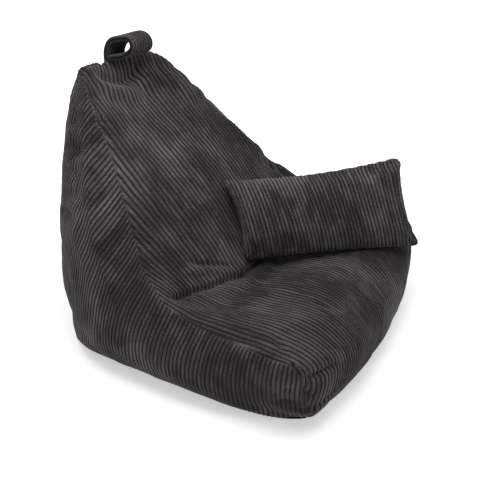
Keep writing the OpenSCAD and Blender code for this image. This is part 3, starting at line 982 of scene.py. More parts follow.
def dressed(points, normals):
    """Cloth moved by its folds and seams, its relief share and its outward direction."""
    away, direction, sunk = seam_pull(points, normals)
    moved = points + direction * (sunk + fold_height(points) + wrinkled(points))[:, None]
    moved[:, 2] = np.maximum(moved[:, 2], base_cloth)
    lift = np.clip((away - 0.0008) / 0.005, 0, 1)
    return moved, lift, direction


def turn_in(points, faces, values, direction, depth=0.010):
    """Adds the seam allowance: the border of a panel folded inwards."""
    border = border_of(faces)
    used = sorted({corner for edge in border for corner in edge})
    fresh = {corner: len(points) + k for k, corner in enumerate(used)}
    points = np.vstack([points, points[used] - direction[used] * depth])
    faces = faces + [(b, a, fresh[a], fresh[b]) for a, b in border]
    across, lengthwise, lift = values
    return points, faces, (np.concatenate([across, across[used]]),
                           np.concatenate([lengthwise, lengthwise[used]]),
                           np.concatenate([lift, np.zeros(len(used))]))


def grid_faces(index):
    """Faces between the numbered points of a grid, without the ones that have no width."""
    faces = []
    rows, cols = index.shape
    for i in range(rows - 1):
        low, high = index[i].tolist(), index[i + 1].tolist()
        for j in range(cols - 1):
            corners = []
            for corner in (low[j], low[j + 1], high[j + 1], high[j]):
                if not corners or (corner != corners[-1] and corner != corners[0]):
                    corners.append(corner)
            if len(corners) > 2:
                faces.append(tuple(corners))
    return faces


# %% Middle strips
def ramp(value, low, high):
    f = np.clip((value - low) / (high - low), 0, 1)
    return f * f * (3 - 2 * f)


def laid_out(columns, p):
    """Where the wales lie on the cloth: spread by the filling, drawn in at front and crease."""
    back = float(ramp(p, 5.0, 8.0))
    front = float(1 - ramp(p, 1.2, 5.2))
    right_hand = 1 - ramp(columns, -0.20, 0.05)
    spread = mix(mix(1.08, 1.27, back), mix(1.40, 1.46, back), right_hand)
    steps = np.diff(columns) * (spread[1:] + spread[:-1]) / 2
    placed_at = np.concatenate([[0.0], np.cumsum(steps)])
    placed_at -= np.interp(0.0, columns, placed_at)
    placed_at -= 0.130 * front * ramp(columns, -0.40, 0.16)
    return placed_at + 0.085 * (1 - float(ramp(p, 3.4, 8.4))) * (1 - ramp(columns, -0.42, 0.06))


def even_rows(p_low, p_high, spacing):
    """Profile places spaced along the cloth, closer where it folds."""
    fine = np.linspace(p_low, p_high, 900)
    line = (strip_point(fine, 0.0) + strip_point(fine, 0.8)) / 2
    run = run_along(line)
    folded = sum(np.exp(-((fine - place) / size) ** 2) for place, size in
                 ((1.2, 1.2), (6.2, 1.0), (10.3, 0.9)))
    dense = 1 + 1.0 * np.minimum(folded, 1)
    steps = np.diff(run) * (dense[1:] + dense[:-1]) / 2
    weight = np.concatenate([[0.0], np.cumsum(steps)])
    count = int(round(weight[-1] / spacing)) + 1
    rows = np.interp(np.linspace(0, weight[-1], count), weight, fine)
    return rows, np.interp(rows, fine, run)


def strip_panel(name, p_low, p_high, spread, material):
    rows, lengths = even_rows(p_low, p_high, 0.0105)
    t_fine = np.linspace(-1, 1, 481)
    columns = column_places(-0.62, 0.62, strip_pitch)
    grid_t, across = [], []
    for p in rows:
        line = strip_point(p, t_fine)
        run = run_along(line)
        run -= run[len(run) // 2]
        laid = laid_out(columns, p) if spread else columns
        reached = np.clip(laid, run[0], run[-1])
        grid_t.append(np.interp(reached, run, t_fine))
        across.append(np.interp(reached, laid, columns))
    grid_t, across = np.array(grid_t), np.array(across)
    fresh = np.ones(grid_t.shape, bool)
    fresh[:, 1:] = grid_t[:, 1:] != grid_t[:, :-1]
    index = np.cumsum(fresh.ravel()).reshape(fresh.shape) - 1
    faces = grid_faces(index)
    row, column = np.nonzero(fresh)
    p, t = rows[row], grid_t[row, column]
    u, v = across[row, column], lengths[row]
    moved, lift, direction = dressed(strip_point(p, t), strip_normal(p, t))
    moved, faces, (u, v, lift) = turn_in(moved, faces, (u, v, lift), direction)
    return corduroy(name, moved, faces, u, v, lift, material, strip_pitch)


seat_back = strip_panel("seat_back_cover", 0.0, TOP, True, pile_painted_spots)
rear = strip_panel("rear_cover", TOP, END, False, pile)


# %% [markdown]
# ### Wales on the side panels
#
# A side panel is cut with its wales upright, but the stuffing swings them: they lean forward over
# the middle of the panel and stand upright again near the floor and at the front. Two smooth
# fields hold that. `lean` says which way the wales run, and a least-squares fit finds the
# distance across them, so that the pitch stays even while the direction turns.

# %% Lean of the wales over the side view
def bump_at(y, z, place, size):
    return np.exp(-((y - place[0]) / size[0]) ** 2 - ((z - place[1]) / size[1]) ** 2)


def lean(y, z):
    """Forward run of a wale for each step up."""
    low = np.clip((z - 0.05) / 0.15, 0, 1)
    middle = bump_at(y, z, (0.02, 0.35), (0.33, 0.11))
    rear = bump_at(y, z, (0.34, 0.55), (0.06, 0.16))
    seam = bump_at(y, z, (0.27, 0.62), (0.06, 0.12))
    return -(0.11 * low + 0.48 * middle + 0.45 * rear - 0.16 * seam)


def powers(y, z, degree=6):
    a, b = (y - 0.02) / 0.5, (z - 0.40) / 0.45
    terms, slopes_y, slopes_z = [], [], []
    for i in range(degree + 1):
        for j in range(degree + 1 - i):
            if i + j == 0:
                continue
            terms.append(a ** i * b ** j)
            slopes_y.append((i * a ** max(i - 1, 0) * b ** j) / 0.5 if i else np.zeros_like(a))
            slopes_z.append((j * a ** i * b ** max(j - 1, 0)) / 0.45 if j else np.zeros_like(a))
    return np.array(terms), np.array(slopes_y), np.array(slopes_z)


def fit_wales():
    y, z = np.meshgrid(np.arange(-0.47, 0.52, 0.012), np.arange(0.006, 0.84, 0.012))
    y, z = y.ravel(), z.ravel()
    inside = side_polar(y, z)[1] > 0.0
    y, z = y[inside], z[inside]
    n = side_normal(y, z)
    slope_y, slope_z = -n[:, 1] / n[:, 0], -n[:, 2] / n[:, 0]
    run = lean(y, z)
    wale = unit(np.column_stack([slope_y * run + slope_z, run, np.ones_like(run)]))
    over = np.cross(wale, n)
    over *= np.sign(over[:, 1])[:, None]
    _, by_y, by_z = powers(y, z)
    # The field's slope along each of two surface directions must match the wanted one
    want_y = over[:, 0] * slope_y + over[:, 1]
    want_z = over[:, 0] * slope_z + over[:, 2]
    system = np.vstack([by_y.T, by_z.T])
    wanted = np.concatenate([want_y, want_z])
    weights, *_ = np.linalg.lstsq(system, wanted, rcond=None)
    missed = system @ weights - wanted
    print("wale field: slope missed by", round(float(np.sqrt((missed ** 2).mean())), 3))
    return weights


wale_weights = fit_wales()


def side_across(y, z):
    return powers(y, z)[0].T @ wale_weights


def across_row(y, z):
    """Distance across the wales along one level, straightened outside the panel."""
    inside = y[side_polar(y, np.full_like(y, z))[1] > 0]
    held = np.clip(y, inside[0], inside[-1])
    return side_across(held, np.full_like(y, z)) + (y - held)


# %% Side panels
def side_panel(name, mirror, material):
    y_fine = np.linspace(-0.53, 0.56, 1091)
    z_fine = np.arange(base_cloth, 0.8405, 0.003)
    field = np.array([across_row(y_fine, z) for z in z_fine])
    columns = column_places(field[:, 0].min(), field[:, -1].max(), side_pitch)
    y_of = np.array([np.interp(columns, row, y_fine) for row in field])
    z_of = np.repeat(z_fine[:, None], len(columns), axis=1)
    share = side_polar(y_of.ravel(), z_of.ravel())[1].reshape(y_of.shape)
    levels = np.arange(base_cloth, 0.8405, 0.010)
    points_y, points_z, points_u = [], [], []
    index = np.full((len(levels), len(columns)), -1)
    used = np.zeros(len(columns), bool)
    for j in range(len(columns)):
        inside = np.where(share[:, j] > 0)[0]
        if len(inside) < 2:
            continue
        used[j] = True
        first, last = inside[0], inside[-1]
        low, high = z_fine[first], z_fine[last]
        if first > 0:
            a, b = share[first - 1, j], share[first, j]
            low = z_fine[first] - 0.003 * b / (b - a)
        if last + 1 < len(z_fine):
            a, b = share[last, j], share[last + 1, j]
            high = z_fine[last] + 0.003 * a / (a - b)
        reached = np.clip(levels, low, high)
        for k, z in enumerate(reached):
            if k and z == reached[k - 1]:
                index[k, j] = index[k - 1, j]
                continue
            index[k, j] = len(points_z)
            points_y.append(np.interp(z, z_fine, y_of[:, j]))
            points_z.append(z)
            points_u.append(columns[j])
    y, z, u = np.array(points_y), np.array(points_z), np.array(points_u)
    faces = [face[::-1] for face in grid_faces(index[:, used].T)]
    points = np.column_stack([side_x(y, z), y, z])
    normals = side_normal(y, z)
    if mirror:
        points[:, 0] *= -1
        normals[:, 0] *= -1
        faces = [face[::-1] for face in faces]
    moved, lift, direction = dressed(points, normals)
    moved, faces, (u, v, lift) = turn_in(moved, faces, (u, z, lift), direction)
    return corduroy(name, moved, faces, u, v, lift, material, side_pitch)


side_left = side_panel("side_cover_left", False, pile)
side_right = side_panel("side_cover_right", True, pile)

# %% [markdown]
# ## Inside the cover
#
# Under the cover lies a plain woven liner full of polystyrene beads. Both take the cover's form a
# few millimetres further in, so they start from the solid of the beads, remeshed evenly.

# %% Liner and beads
def inner_body(name, voxel, inset, material):
    """The filled bag, dented and wrinkled with the cover and drawn in."""
    obj = filled_bag(name, voxel)
    mesh = obj.data
    points, normals = read_points(mesh), read_points(mesh, "normal")
    dent = np.minimum(fold_height(points, 0.012), 0.0) * 1.15 + np.minimum(wrinkled(points), 0.0)
    points = points + normals * (dent - inset)[:, None]
    mesh.vertices.foreach_set("co", points.ravel())
    mesh.update()
    mesh.polygons.foreach_set("use_smooth", np.ones(len(mesh.polygons), bool))
    mesh.materials.clear()
    mesh.materials.append(material)
    return obj


liner = inner_body("liner_bag", 0.011, 0.004, lining)
fill = inner_body("bead_filling", 0.012, 0.0065, beads)

# %% [markdown]
# ## Base and its zip
#
# The bag stands on a flat corduroy base. A long zip near the rear of the base lets the filling
# in. Its coil teeth are small and many, so Geometry Nodes place one tooth along two lines.

# %% Sizes of the zips
tape_width = 0.013
tape_thick = 0.0006
teeth_width = 0.0017
teeth_height = 0.0018
gap = 0.00035
slider_length = 0.010
slider_plate = 0.0007
slider_cheek = 0.0015
slider_web = 0.0008
stop_length = 0.004
tooth_pitch = 0.0016
stitch_pitch = 0.0034
stitch_inset = 0.003
stitch_length = 0.0027
stitch_radius = 0.00022
zip_part = 2 * gap + slider_web
teeth_edge = zip_part / 2 + teeth_width
base_zip_length = 0.480
cushion_zip_length = 0.300
base_zip_y = float(mix(along(stations[0, 3]), along(stations[16, 3]), 0.86))


# %% Base panel
def base_outline():
    """Front and rear edge of the base as functions of the place across."""
    half = np.linspace(0, 1, 200)
    edge = floor_edge(half)
    widest = int(np.argmax(edge[:, 0]))
    t = np.linspace(-1, 1, 201)
    chains = []
    for p, side in ((0.0, edge[widest:][::-1]), (END, edge[:widest + 1])):
        middle = strip_point(p, t)
        side = side if side[0, 0] > side[-1, 0] else side[::-1]
        right = side * np.array([-1.0, 1.0, 1.0])
        chains.append(np.vstack([right, middle[1:-1], side[::-1]]))
    return chains


def base_panel(name, material):
    front, back = base_outline()
    reach = front[-1, 0] - 0.0005
    columns = column_places(-reach, reach, small_pitch)
    columns = np.clip(columns, -reach, reach)
    slot_x, slot_y = base_zip_length / 2, 0.0062
    marks = [base_zip_y - slot_y, base_zip_y + slot_y]
    levels = np.sort(np.concatenate([np.arange(-0.53, 0.50, 0.012), marks]))
    columns = np.unique(np.concatenate([columns, [-slot_x, slot_x]]))
    low = np.interp(columns, front[:, 0], front[:, 1])
    high = np.interp(columns, back[:, 0], back[:, 1])
    y = np.clip(levels[:, None], low[None, :], high[None, :])
    x = np.repeat(columns[None, :], len(levels), axis=0)
    edge = np.minimum(np.abs(y - low), np.abs(high - y))
    edge = np.minimum(edge, (reach - np.abs(x)) * 2.0)
    rim = np.exp(-(edge / 0.012) ** 2)
    fresh = np.ones(y.shape, bool)
    fresh[1:] = y[1:] != y[:-1]
    order = np.cumsum(fresh.T.ravel()).reshape(fresh.T.shape).T - 1
    column, row = np.nonzero(fresh.T)
    under = np.column_stack([x[row, column], y[row, column], np.full(len(row), 0.0016)])
    rim_here = rim[row, column]
    under[:, :2] *= 0.994
    over = under + np.array([0, 0, 1.0]) * (0.0003 + 0.0027 * rim_here)[:, None]
    kept = []
    flat = np.column_stack([x[row, column], y[row, column]])
    for face in grid_faces(order):
        centre = flat[list(face)].mean(axis=0)
        if not (abs(centre[0]) < slot_x and abs(centre[1] - base_zip_y) < slot_y):
            kept.append(face)
    points = np.vstack([under, over])
    faces = shell_of(points, kept)
    across = np.tile(x[row, column], 2)
    lift = np.concatenate([1 - rim_here, np.zeros(len(over))])
    return corduroy(name, points, faces, across, points[:, 1], lift, material, small_pitch, 0.0022)


base = base_panel("base_cover", pile)


# %% Teeth and stitches as Geometry Nodes trees
def row_tree(name):
    """Repeats one small rounded bar along a straight line."""
    build = NodeTree(name, {"Start": "Vector", "Step": "Vector", "Count": "Int",
                            "Turn": "Rotation", "Bar Length": "Float", "Bar Radius": "Float"})
    line = build.add("GeometryNodeMeshLine", {"mode": "OFFSET"}, {
        "Count": build.given["Count"], "Start Location": build.given["Start"],
        "Offset": build.given["Step"]})
    bar = build.add("GeometryNodeMeshCylinder", None, {
        "Vertices": 8, "Side Segments": 3, "Radius": build.given["Bar Radius"],
        "Depth": build.given["Bar Length"]})
    place = build.add("GeometryNodeInputPosition")
    share = build.maths("DIVIDE", build.add("ShaderNodeSeparateXYZ", None, {0: place}, output=2),
                        build.given["Bar Length"])
    narrow = build.maths("SUBTRACT", 1.0, build.maths("POWER", build.maths("ABSOLUTE", share), 2.0))
    pinch = build.add("ShaderNodeCombineXYZ", None, {0: narrow, 1: narrow, 2: 1.0})
    shaped = build.add("ShaderNodeVectorMath", {"operation": "MULTIPLY"}, {0: place, 1: pinch})
    bar = build.add("GeometryNodeSetPosition", None, {"Geometry": bar, "Position": shaped})
    rows = build.add("GeometryNodeInstanceOnPoints", None, {
        "Points": line, "Instance": bar, "Rotation": build.given["Turn"]})
    return build.finish(rows)


bar_row = row_tree("row_of_bars")


def bars(name, start, step, count, turn, length, radius, material):
    seed = plain_object(name, np.zeros((1, 3)), [])
    return grow(seed, bar_row, name, {
        "Start": start, "Step": step, "Count": count, "Turn": turn,
        "Bar Length": length, "Bar Radius": radius, "Material": material})


# %% Joining, placing and painting meshes
def joined(name, objects, material=None):
    """One mesh object from several, with the meshes simply put together."""
    points, faces = [], []
    for obj in objects:
        base_count = len(points)
        points += [tuple(vertex.co) for vertex in obj.data.vertices]
        faces += [tuple(base_count + k for k in face.vertices) for face in obj.data.polygons]
    for obj in objects:
        bpy.data.objects.remove(obj)
    made = plain_object(name, points, faces)
    if material:
        made.data.materials.append(material)
    return made


def slab(name, rows, columns, place):
    """A closed thin slab: place(i, j, side) gives its points."""
    index = np.arange(rows * columns).reshape(rows, columns)
    points = []
    for side in (0, 1):
        points += [place(i / (rows - 1), j / (columns - 1), side)
                   for i in range(rows) for j in range(columns)]
    return plain_object(name, points, shell_of(points, grid_faces(index)))


# %% A zip in its own frame
def zip_parts(name, length):
    """Tapes, teeth and thread of a closed zip along X, outer face towards -Z."""
    tapes = []
    for side in (-1, 1):
        def place(i, j, face, side=side):
            x = (i - 0.5) * length
            y = side * mix(zip_part / 2 + 0.4 * teeth_width, teeth_edge + tape_width, j)
            z = (face - 0.5) * tape_thick + 0.00012 * math.sin(90 * x) * j
            return (x, y, z)
        tapes.append(slab(name + "_tape", 61, 8, place))
    run = length - 2 * stop_length
    count = int(run / tooth_pitch)
    teeth = []
    stitches = []
    for side in (-1, 1):
        first = -run / 2 + tooth_pitch / 2 + 0.25 * side * tooth_pitch
        teeth.append(bars(
            name + "_teeth", (first, side * (zip_part + teeth_width) / 2, 0),
            (tooth_pitch, 0, 0), count, (math.pi / 2, 0, 0),
            teeth_width, teeth_height * 0.36, nylon))
        for line in (0.0045, 0.0090):
            stitches.append(bars(
                name + "_stitch",
                (-length / 2 + stitch_inset, side * (teeth_edge + line), -0.0004),
                (stitch_pitch, 0, 0), int((length - 2 * stitch_inset) / stitch_pitch),
                (0, math.pi / 2, 0),
                stitch_length, stitch_radius, thread))
    return (joined(name + "_tapes_cloth", tapes, tape_cloth),
            joined(name + "_coil", teeth, nylon), joined(name + "_stitches", stitches, thread))


def slider_body(name, length):
    """A slider with two rounded plates, a web between the rows and a flat pull tab."""
    half_width = teeth_edge + slider_cheek
    start = -(length / 2 - stop_length - slider_length / 2 - gap)
    objects = []
    plate_z = teeth_height / 2 + gap + slider_plate / 2
    for level in (-1, 1):
        def place(i, j, face, level=level):
            a = 2 * i - 1
            width = half_width * (1 - 0.22 * abs(a) ** 3) * (1 - 0.16 * (a + 1) / 2)
            z = level * plate_z + (face - 0.5) * slider_plate * (1 - 0.5 * abs(2 * j - 1) ** 4)
            return (start + a * slider_length / 2, (2 * j - 1) * width, z)
        objects.append(slab(name, 15, 9, place))

    def web(i, j, face):
        a = 2 * i - 1
        return (start - 0.0032 + a * 0.0014, (2 * j - 1) * slider_web / 2 * (1 - 0.5 * a * a),
                (face - 0.5) * 2 * (plate_z - 0.0001))
    objects.append(slab(name, 7, 5, web))

    def tab(i, j, face):
        a = 2 * i - 1
        width = 0.0023 * (1 - 0.35 * abs(a) ** 6) * (0.72 + 0.28 * i)
        return (start + 0.001 + i * 0.016, (2 * j - 1) * width,
                -plate_z - slider_plate * 0.55 - 0.0002 + (face - 0.5) * 0.0004)
    objects.append(slab(name, 15, 7, tab))
    return joined(name, objects, metal)


def put(obj, matrix):
    """Moves a finished mesh by a matrix, with its object left at the origin."""
    obj.data.transform(matrix)
    obj.data.update()
    return obj


base_place = Matrix.Translation((0, base_zip_y, base_cloth / 2))
base_zip = [put(part, base_place) for part in zip_parts("base_zip", base_zip_length)]
base_slider = put(slider_body("base_zip_slider_body", base_zip_length), base_place)
for vertex in base_slider.data.vertices:
    vertex.co.z = max(vertex.co.z, 0.0001)

# %% [markdown]
# ## Handle
#
# A strap of the same corduroy is folded into a loop, sewn into the top seam and flopped forward.
# Its outline is a smooth closed curve, swept across the strap's width, with wales round the loop.

# %% Handle strap
handle_width = 0.106
handle_reach = 0.124
handle_rise = 0.086
strap_pitch = handle_width / 8
strap_thick = 0.016
strap_half = strap_thick / 2 - 0.0012
handle_root = np.array([0.0, float(along(1.90)), bag_height + 0.004 + 0.00035])
loop_shape = np.array([
    (0, 0), (-0.05, 0.22), (0.02, 0.52), (0.16, 0.76), (0.36, 0.92), (0.60, 1.00),
    (0.80, 0.99), (0.94, 0.88), (1.00, 0.66), (0.94, 0.42), (0.76, 0.26), (0.40, 0.10)])


def handle_line(count):
    """Centre line of the strap as points and outward directions in the side view."""
    ring = np.vstack([loop_shape[-2:], loop_shape, loop_shape[:3]])
    at = 2 + np.linspace(0, len(loop_shape), count, endpoint=False)
    line = smooth(ring, at) * np.array([-handle_reach, handle_rise])
    run = np.roll(line, -1, axis=0) - np.roll(line, 1, axis=0)
    out_way = np.column_stack([-run[:, 1], run[:, 0]])
    out_way /= np.linalg.norm(out_way, axis=1)[:, None]
    middle = line.mean(axis=0)
    if ((line - middle) * out_way).sum() < 0:
        out_way = -out_way
    return line - out_way * strap_thick / 2, out_way


def handle_strap(name, material):
    line, out_way = handle_line(120)
    run = run_along(line)
    half = handle_width / 2
    columns = column_places(-half, half, strap_pitch)
    edge = 0.0055
    columns = columns[(columns > -half + edge) & (columns < half - edge)]
    ring_x, ring_n, ring_lift = [], [], []
    for face in (1, -1):
        ring_x += list(columns[::face])
        ring_n += [face] * len(columns)
        ring_lift += [1.0] * len(columns)
        for angle in (25, 50, 75, 90, 105, 130, 155):
            a = math.radians(angle)
            ring_x.append(face * (half - edge + edge * math.sin(a)))
            ring_n.append(face * math.cos(a))
            ring_lift.append(0.0)
    ring_x, ring_n, ring_lift = np.array(ring_x), np.array(ring_n), np.array(ring_lift)
    from_root = np.minimum(run, run[-1] - run)
    narrow = 1 - 0.07 * np.exp(-(from_root / 0.022) ** 2)
    wave = 0.0016 * np.sin(from_root * 70)[:, None] * np.sin(ring_x * 40)[None, :]
    offset = ring_n[None, :] * strap_half + wave
    x = ring_x[None, :] * narrow[:, None]
    y = handle_root[1] + line[:, 0, None] + out_way[:, 0, None] * offset
    z = handle_root[2] + line[:, 1, None] + out_way[:, 1, None] * offset
    points, index = numbered(x, y, z)
    index = np.vstack([index, index[:1]])
    index = np.hstack([index, index[:, :1]])
    faces = turned_outward(points, grid_faces(index))
    across = np.repeat(ring_x[None, :], len(line), axis=0).ravel()
    lift = np.repeat(ring_lift[None, :], len(line), axis=0).ravel()
    lengthwise = np.repeat(run[:, None], len(ring_x), axis=1).ravel()
    return corduroy(name, points, faces, across, lengthwise, lift, material, strap_pitch, 0.0036)


def handle_bead(name, material):
    """The rolled hem at the root of the strap, with the wales running round it."""
    half = handle_width / 2 - 0.002
    columns = column_places(-half, half, strap_pitch)
    columns = columns[(columns > -half) & (columns < half)]
    count = 20
    angle = np.linspace(0, 2 * math.pi, count, endpoint=False)
    edge = np.minimum(1.0, np.sqrt(np.clip((half - np.abs(columns)) / 0.003, 0.02, 1)))
    radius = 0.0038 * edge[:, None]
    x = np.repeat(columns[:, None], count, axis=1)
    y = handle_root[1] + radius * np.cos(angle)[None, :]
    z = handle_root[2] + radius * np.sin(angle)[None, :]
    points, index = numbered(x, y, z)
    faces = grid_faces(np.hstack([index, index[:, :1]]))
    faces += [tuple(index[0].tolist()), tuple(index[-1].tolist()[::-1])]
    faces = turned_outward(points, faces)
    lift = np.repeat(np.where(edge > 0.99, 1.0, 0.0)[:, None], count, axis=1).ravel()
    lengthwise = np.repeat((angle * 0.004)[None, :], len(columns), axis=0).ravel()
    return corduroy(name, points, faces, points[:, 0], lengthwise, lift, material,
                    strap_pitch, 0.0016)


strap = handle_strap("handle_strap", pile)
bead = handle_bead("handle_root_hem", pile)

# %% [markdown]
# ## Cushion
#
# The loose cushion is two panels over a soft pad, sewn round the edge without piping. It leans
# on the backrest, a little twisted. Its wales run up its short side. The corners stay flat and
# pointed while the middle swells, and the cloth gathers into small puckers along the seam.

# %% Form of the cushion
cushion_length = 0.596
cushion_height = 0.284
cushion_thick = 0.124
cushion_bow = 0.010
cushion_skew = 0.062
cushion_edge = 0.0025
# Angles in degrees
cushion_turn, cushion_pitch, cushion_twist, cushion_lean = 37.0, 1.0, 9.0, 21.0
top_tilt = 0.9


def heading(turn, pitch):
    turn, pitch = math.radians(turn), math.radians(pitch)
    return np.array([math.sin(turn) * math.cos(pitch), -math.cos(turn) * math.cos(pitch),
                     math.sin(pitch)])


def seat_at(x, y):
    """Height of the seat at a place between its front and the crease."""
    p = np.linspace(3, 6, 61)
    half = smooth(placed, p)[:, 2]
    rows = np.array([strip_point(q, x / w)[0] for q, w in zip(p, half)])
    return float(np.interp(y, rows[:, 1], rows[:, 2]))


foot_x, foot_y = 0.28 * bag_width / 2, float(along(0.48))
cushion_foot = np.array([foot_x, foot_y, seat_at(foot_x, foot_y) + 0.092 * cushion_thick])
cushion_x = heading(cushion_turn, cushion_pitch)
level_back = np.cross((0, 0, 1), cushion_x)
level_back /= np.linalg.norm(level_back)
tilt = math.radians(cushion_lean)
cushion_y = np.cross(cushion_x, level_back) * math.cos(tilt) + level_back * math.sin(tilt)
cushion_y /= np.linalg.norm(cushion_y)
cushion_z = np.cross(cushion_x, cushion_y)
print("cushion stands at", np.round(cushion_foot, 3))


def cushion_mid(s, t):
    far = heading(cushion_turn - cushion_twist, cushion_pitch + top_tilt * cushion_twist)
    way = mix(cushion_x[None, :], far[None, :], (t * t)[:, None])
    side_in = cushion_bow * (1 - s * s)
    end_in = cushion_bow * (1 - (2 * t - 1) ** 2)
    rise = mix(side_in, cushion_height - side_in, t)
    run = s * (cushion_length / 2 - end_in) - cushion_skew * t
    return cushion_foot + way * run[:, None] + cushion_y * rise[:, None]


def bulge(a):
    return np.maximum(1 - np.abs(a) ** 2.9, 0) ** 0.56


def edge_wander(s, t):
    """How far the seam of the cushion wanders in from its cut line, in shares of the size."""
    run, rise = s * cushion_length / 2, (t - 0.5) * cushion_height
    du = cushion_length / 2 - np.abs(run)
    dv = cushion_height / 2 - np.abs(rise)
    corner = 0.006 * np.exp(-(np.hypot(du, dv) / 0.012) ** 2)
    wave = 0.0010 * np.sin(run * 155 + 2 * np.sin(run * 31)) * np.exp(-dv / 0.02)
    return corner + wave - 0.005


def cushion_facing(s, t):
    a = cushion_mid(s + 0.05, t) - cushion_mid(s - 0.05, t)
    b = cushion_mid(s, t + 0.05) - cushion_mid(s, t - 0.05)
    return unit(np.cross(a, b))


def cushion_puckers(s, t, face):
    """Small gathers along the seam and soft creases that run in from the corners."""
    run, rise = s * cushion_length / 2, t * cushion_height
    low, high = rise, cushion_height - rise
    ends = cushion_length / 2 - np.abs(run)
    wave = np.sin(run * 150 + 1.3 * np.sin(run * 31) + face)
    height = 0.0022 * wave * (1.6 * np.exp(-low / 0.026) + 0.7 * np.exp(-high / 0.020))
    height += 0.0016 * np.sin(rise * 170 + face) * np.exp(-ends / 0.018)
    for corner_s, corner_t, strength in ((1, 0, 1.0), (-1, 0, 0.7), (1, 1, 0.6), (-1, 1, 0.8)):
        du = (corner_s * cushion_length / 2 - run) * corner_s
        dv = (corner_t * cushion_height - rise) * (1 if corner_t else -1)
        away = np.hypot(du, dv)
        angle = np.arctan2(dv, du)
        fade = np.exp(-(away / 0.085) ** 2) * (1 - np.exp(-away / 0.02))
        height += strength * 0.0045 * np.sin(9 * angle + face) * fade
    height += 0.003 * np.sin(run * 17 + rise * 23 + 2 * face) * bulge(s) * bulge(2 * t - 1)
    return height


def on_rim(s, t):
    return (np.abs(s) > 0.9999) | (t < 0.0001) | (t > 0.9999)


def cushion_form(s, t, face, inset=0.0):
    swollen_to = bulge(s) * bulge(2 * t ** 0.88 - 1)
    half = cushion_edge + (cushion_thick / 2 - cushion_edge) * swollen_to
    open_edge = (t < 0.001) & (np.abs(s) < cushion_zip_length / cushion_length)
    rim = np.where(open_edge, 0.0028, 0.0006)
    half = np.where(on_rim(s, t), rim, half + cushion_puckers(s, t, face))
    half = np.maximum(half - inset, 0.0004)
    drawn = edge_wander(s, t)
    s_in = s * (1 - drawn / (cushion_length / 2))
    t_in = 0.5 + (t - 0.5) * (1 - drawn / (cushion_height / 2))
    return cushion_mid(s_in, t_in) + cushion_facing(s, t) * (face * half)[:, None]


# %% Swelling of the cushion
cushion_grid = (47, 99)


def cushion_places():
    across = np.sin(np.linspace(-math.pi / 2, math.pi / 2, cushion_grid[1]) * 0.999)
    across = mix(np.linspace(-1, 1, cushion_grid[1]), across / across[-1], 0.35)
    return across, np.linspace(0, 1, cushion_grid[0])


def swollen_cushion():
    """Moves of a grid of points on both faces, from a closed skin swelling as cloth."""
    across, rise = cushion_places()
    s, t = flat_grid(across, rise)
    count = len(s)
    points = np.vstack([cushion_form(s, t, face, 0.004) for face in (1, -1)])
    index = np.arange(count).reshape(cushion_grid)
    border = on_rim(s, t)
    points[:count][border] = (points[:count][border] + points[count:][border]) / 2
    behind = np.where(border, np.arange(count), 0)
    behind[~border] = count + np.arange((~border).sum())
    skin = np.vstack([points[:count], points[count:][~border]])
    front = grid_faces(index)
    faces = front + [tuple(int(behind[k]) for k in face[::-1]) for face in front]
    obj = plain_object("swelling_cushion", skin, turned_outward(skin, faces))
    low = np.concatenate([t, t[~border]]) < 0.03
    moved = swell(obj, low, 2.0, 0.020, 0.012, 18.0)
    bpy.data.objects.remove(obj)
    return {face: moved[rows].reshape(cushion_grid + (3,))
            for face, rows in ((1, np.arange(count)), (-1, behind))}


swollen = swollen_cushion()


def read_grid(grid, i, j):
    """Smooth reading of a grid of moves at places counted in rows and columns."""
    total = 0.0
    rows, cols = grid.shape[:2]
    i0 = np.clip(np.floor(i).astype(int), 0, rows - 2)
    j0 = np.clip(np.floor(j).astype(int), 0, cols - 2)
    weights = []
    for f in (i - i0, j - j0):
        weights.append((-0.5 * f ** 3 + f ** 2 - 0.5 * f, 1.5 * f ** 3 - 2.5 * f ** 2 + 1,
                        -1.5 * f ** 3 + 2 * f ** 2 + 0.5 * f, 0.5 * f ** 3 - 0.5 * f ** 2))
    for a in range(4):
        for b in range(4):
            corner = grid[np.clip(i0 + a - 1, 0, rows - 1), np.clip(j0 + b - 1, 0, cols - 1)]
            total = total + corner * (weights[0][a] * weights[1][b])[:, None]
    return total


def cushion_skin(s, t, face, inset=0.0):
    across, rise = cushion_places()
    j = np.interp(s, across, np.arange(len(across)))
    i = np.interp(t, rise, np.arange(len(rise)))
    return cushion_form(s, t, face, inset) + read_grid(swollen[face], i, j)


# %% Cushion panels and pad
def cushion_panel(name, face, material):
    half = cushion_length / 2
    columns = column_places(-half, half, pillow_pitch)
    columns = columns[(columns > -half + 0.001) & (columns < half - 0.001)]
    columns = np.concatenate([[-half], columns, [half]])
    rows = (1 + eased(47)) / 2
    s, t = flat_grid(columns / half, rows)
    points = cushion_skin(s, t, face)
    index = np.arange(len(s)).reshape(len(rows), len(columns))
    faces = grid_faces(index if face > 0 else index[:, ::-1])
    edge = np.minimum((1 - np.abs(s)) * half, np.minimum(t, 1 - t) * cushion_height)
    lift = np.clip((edge + 0.001) / 0.004, 0, 1)
    inner = cushion_mid(0.93 * s, 0.5 + 0.86 * (t - 0.5))
    direction = unit(cushion_mid(s, t) - inner)
    values = (s * half, t * cushion_height, lift)
    points, faces, (u, v, lift) = turn_in(points, faces, values, direction, 0.008)
    return corduroy(name, points, faces, u, v, lift, material, pillow_pitch)


def cushion_core(name, material):
    """The soft pad: both faces a little further in, closed round the edge."""
    a = eased(61) * 0.948
    b = mix(0.115, 0.955, (1 + eased(31)) / 2)
    s, t = flat_grid(a, b)
    points = np.vstack([cushion_skin(s, t, face, 0.0065) for face in (1, -1)])
    index = np.arange(len(s)).reshape(len(b), len(a))
    obj = plain_object(name, points, shell_of(points, grid_faces(index)))
    obj.data.materials.append(material)
    return obj


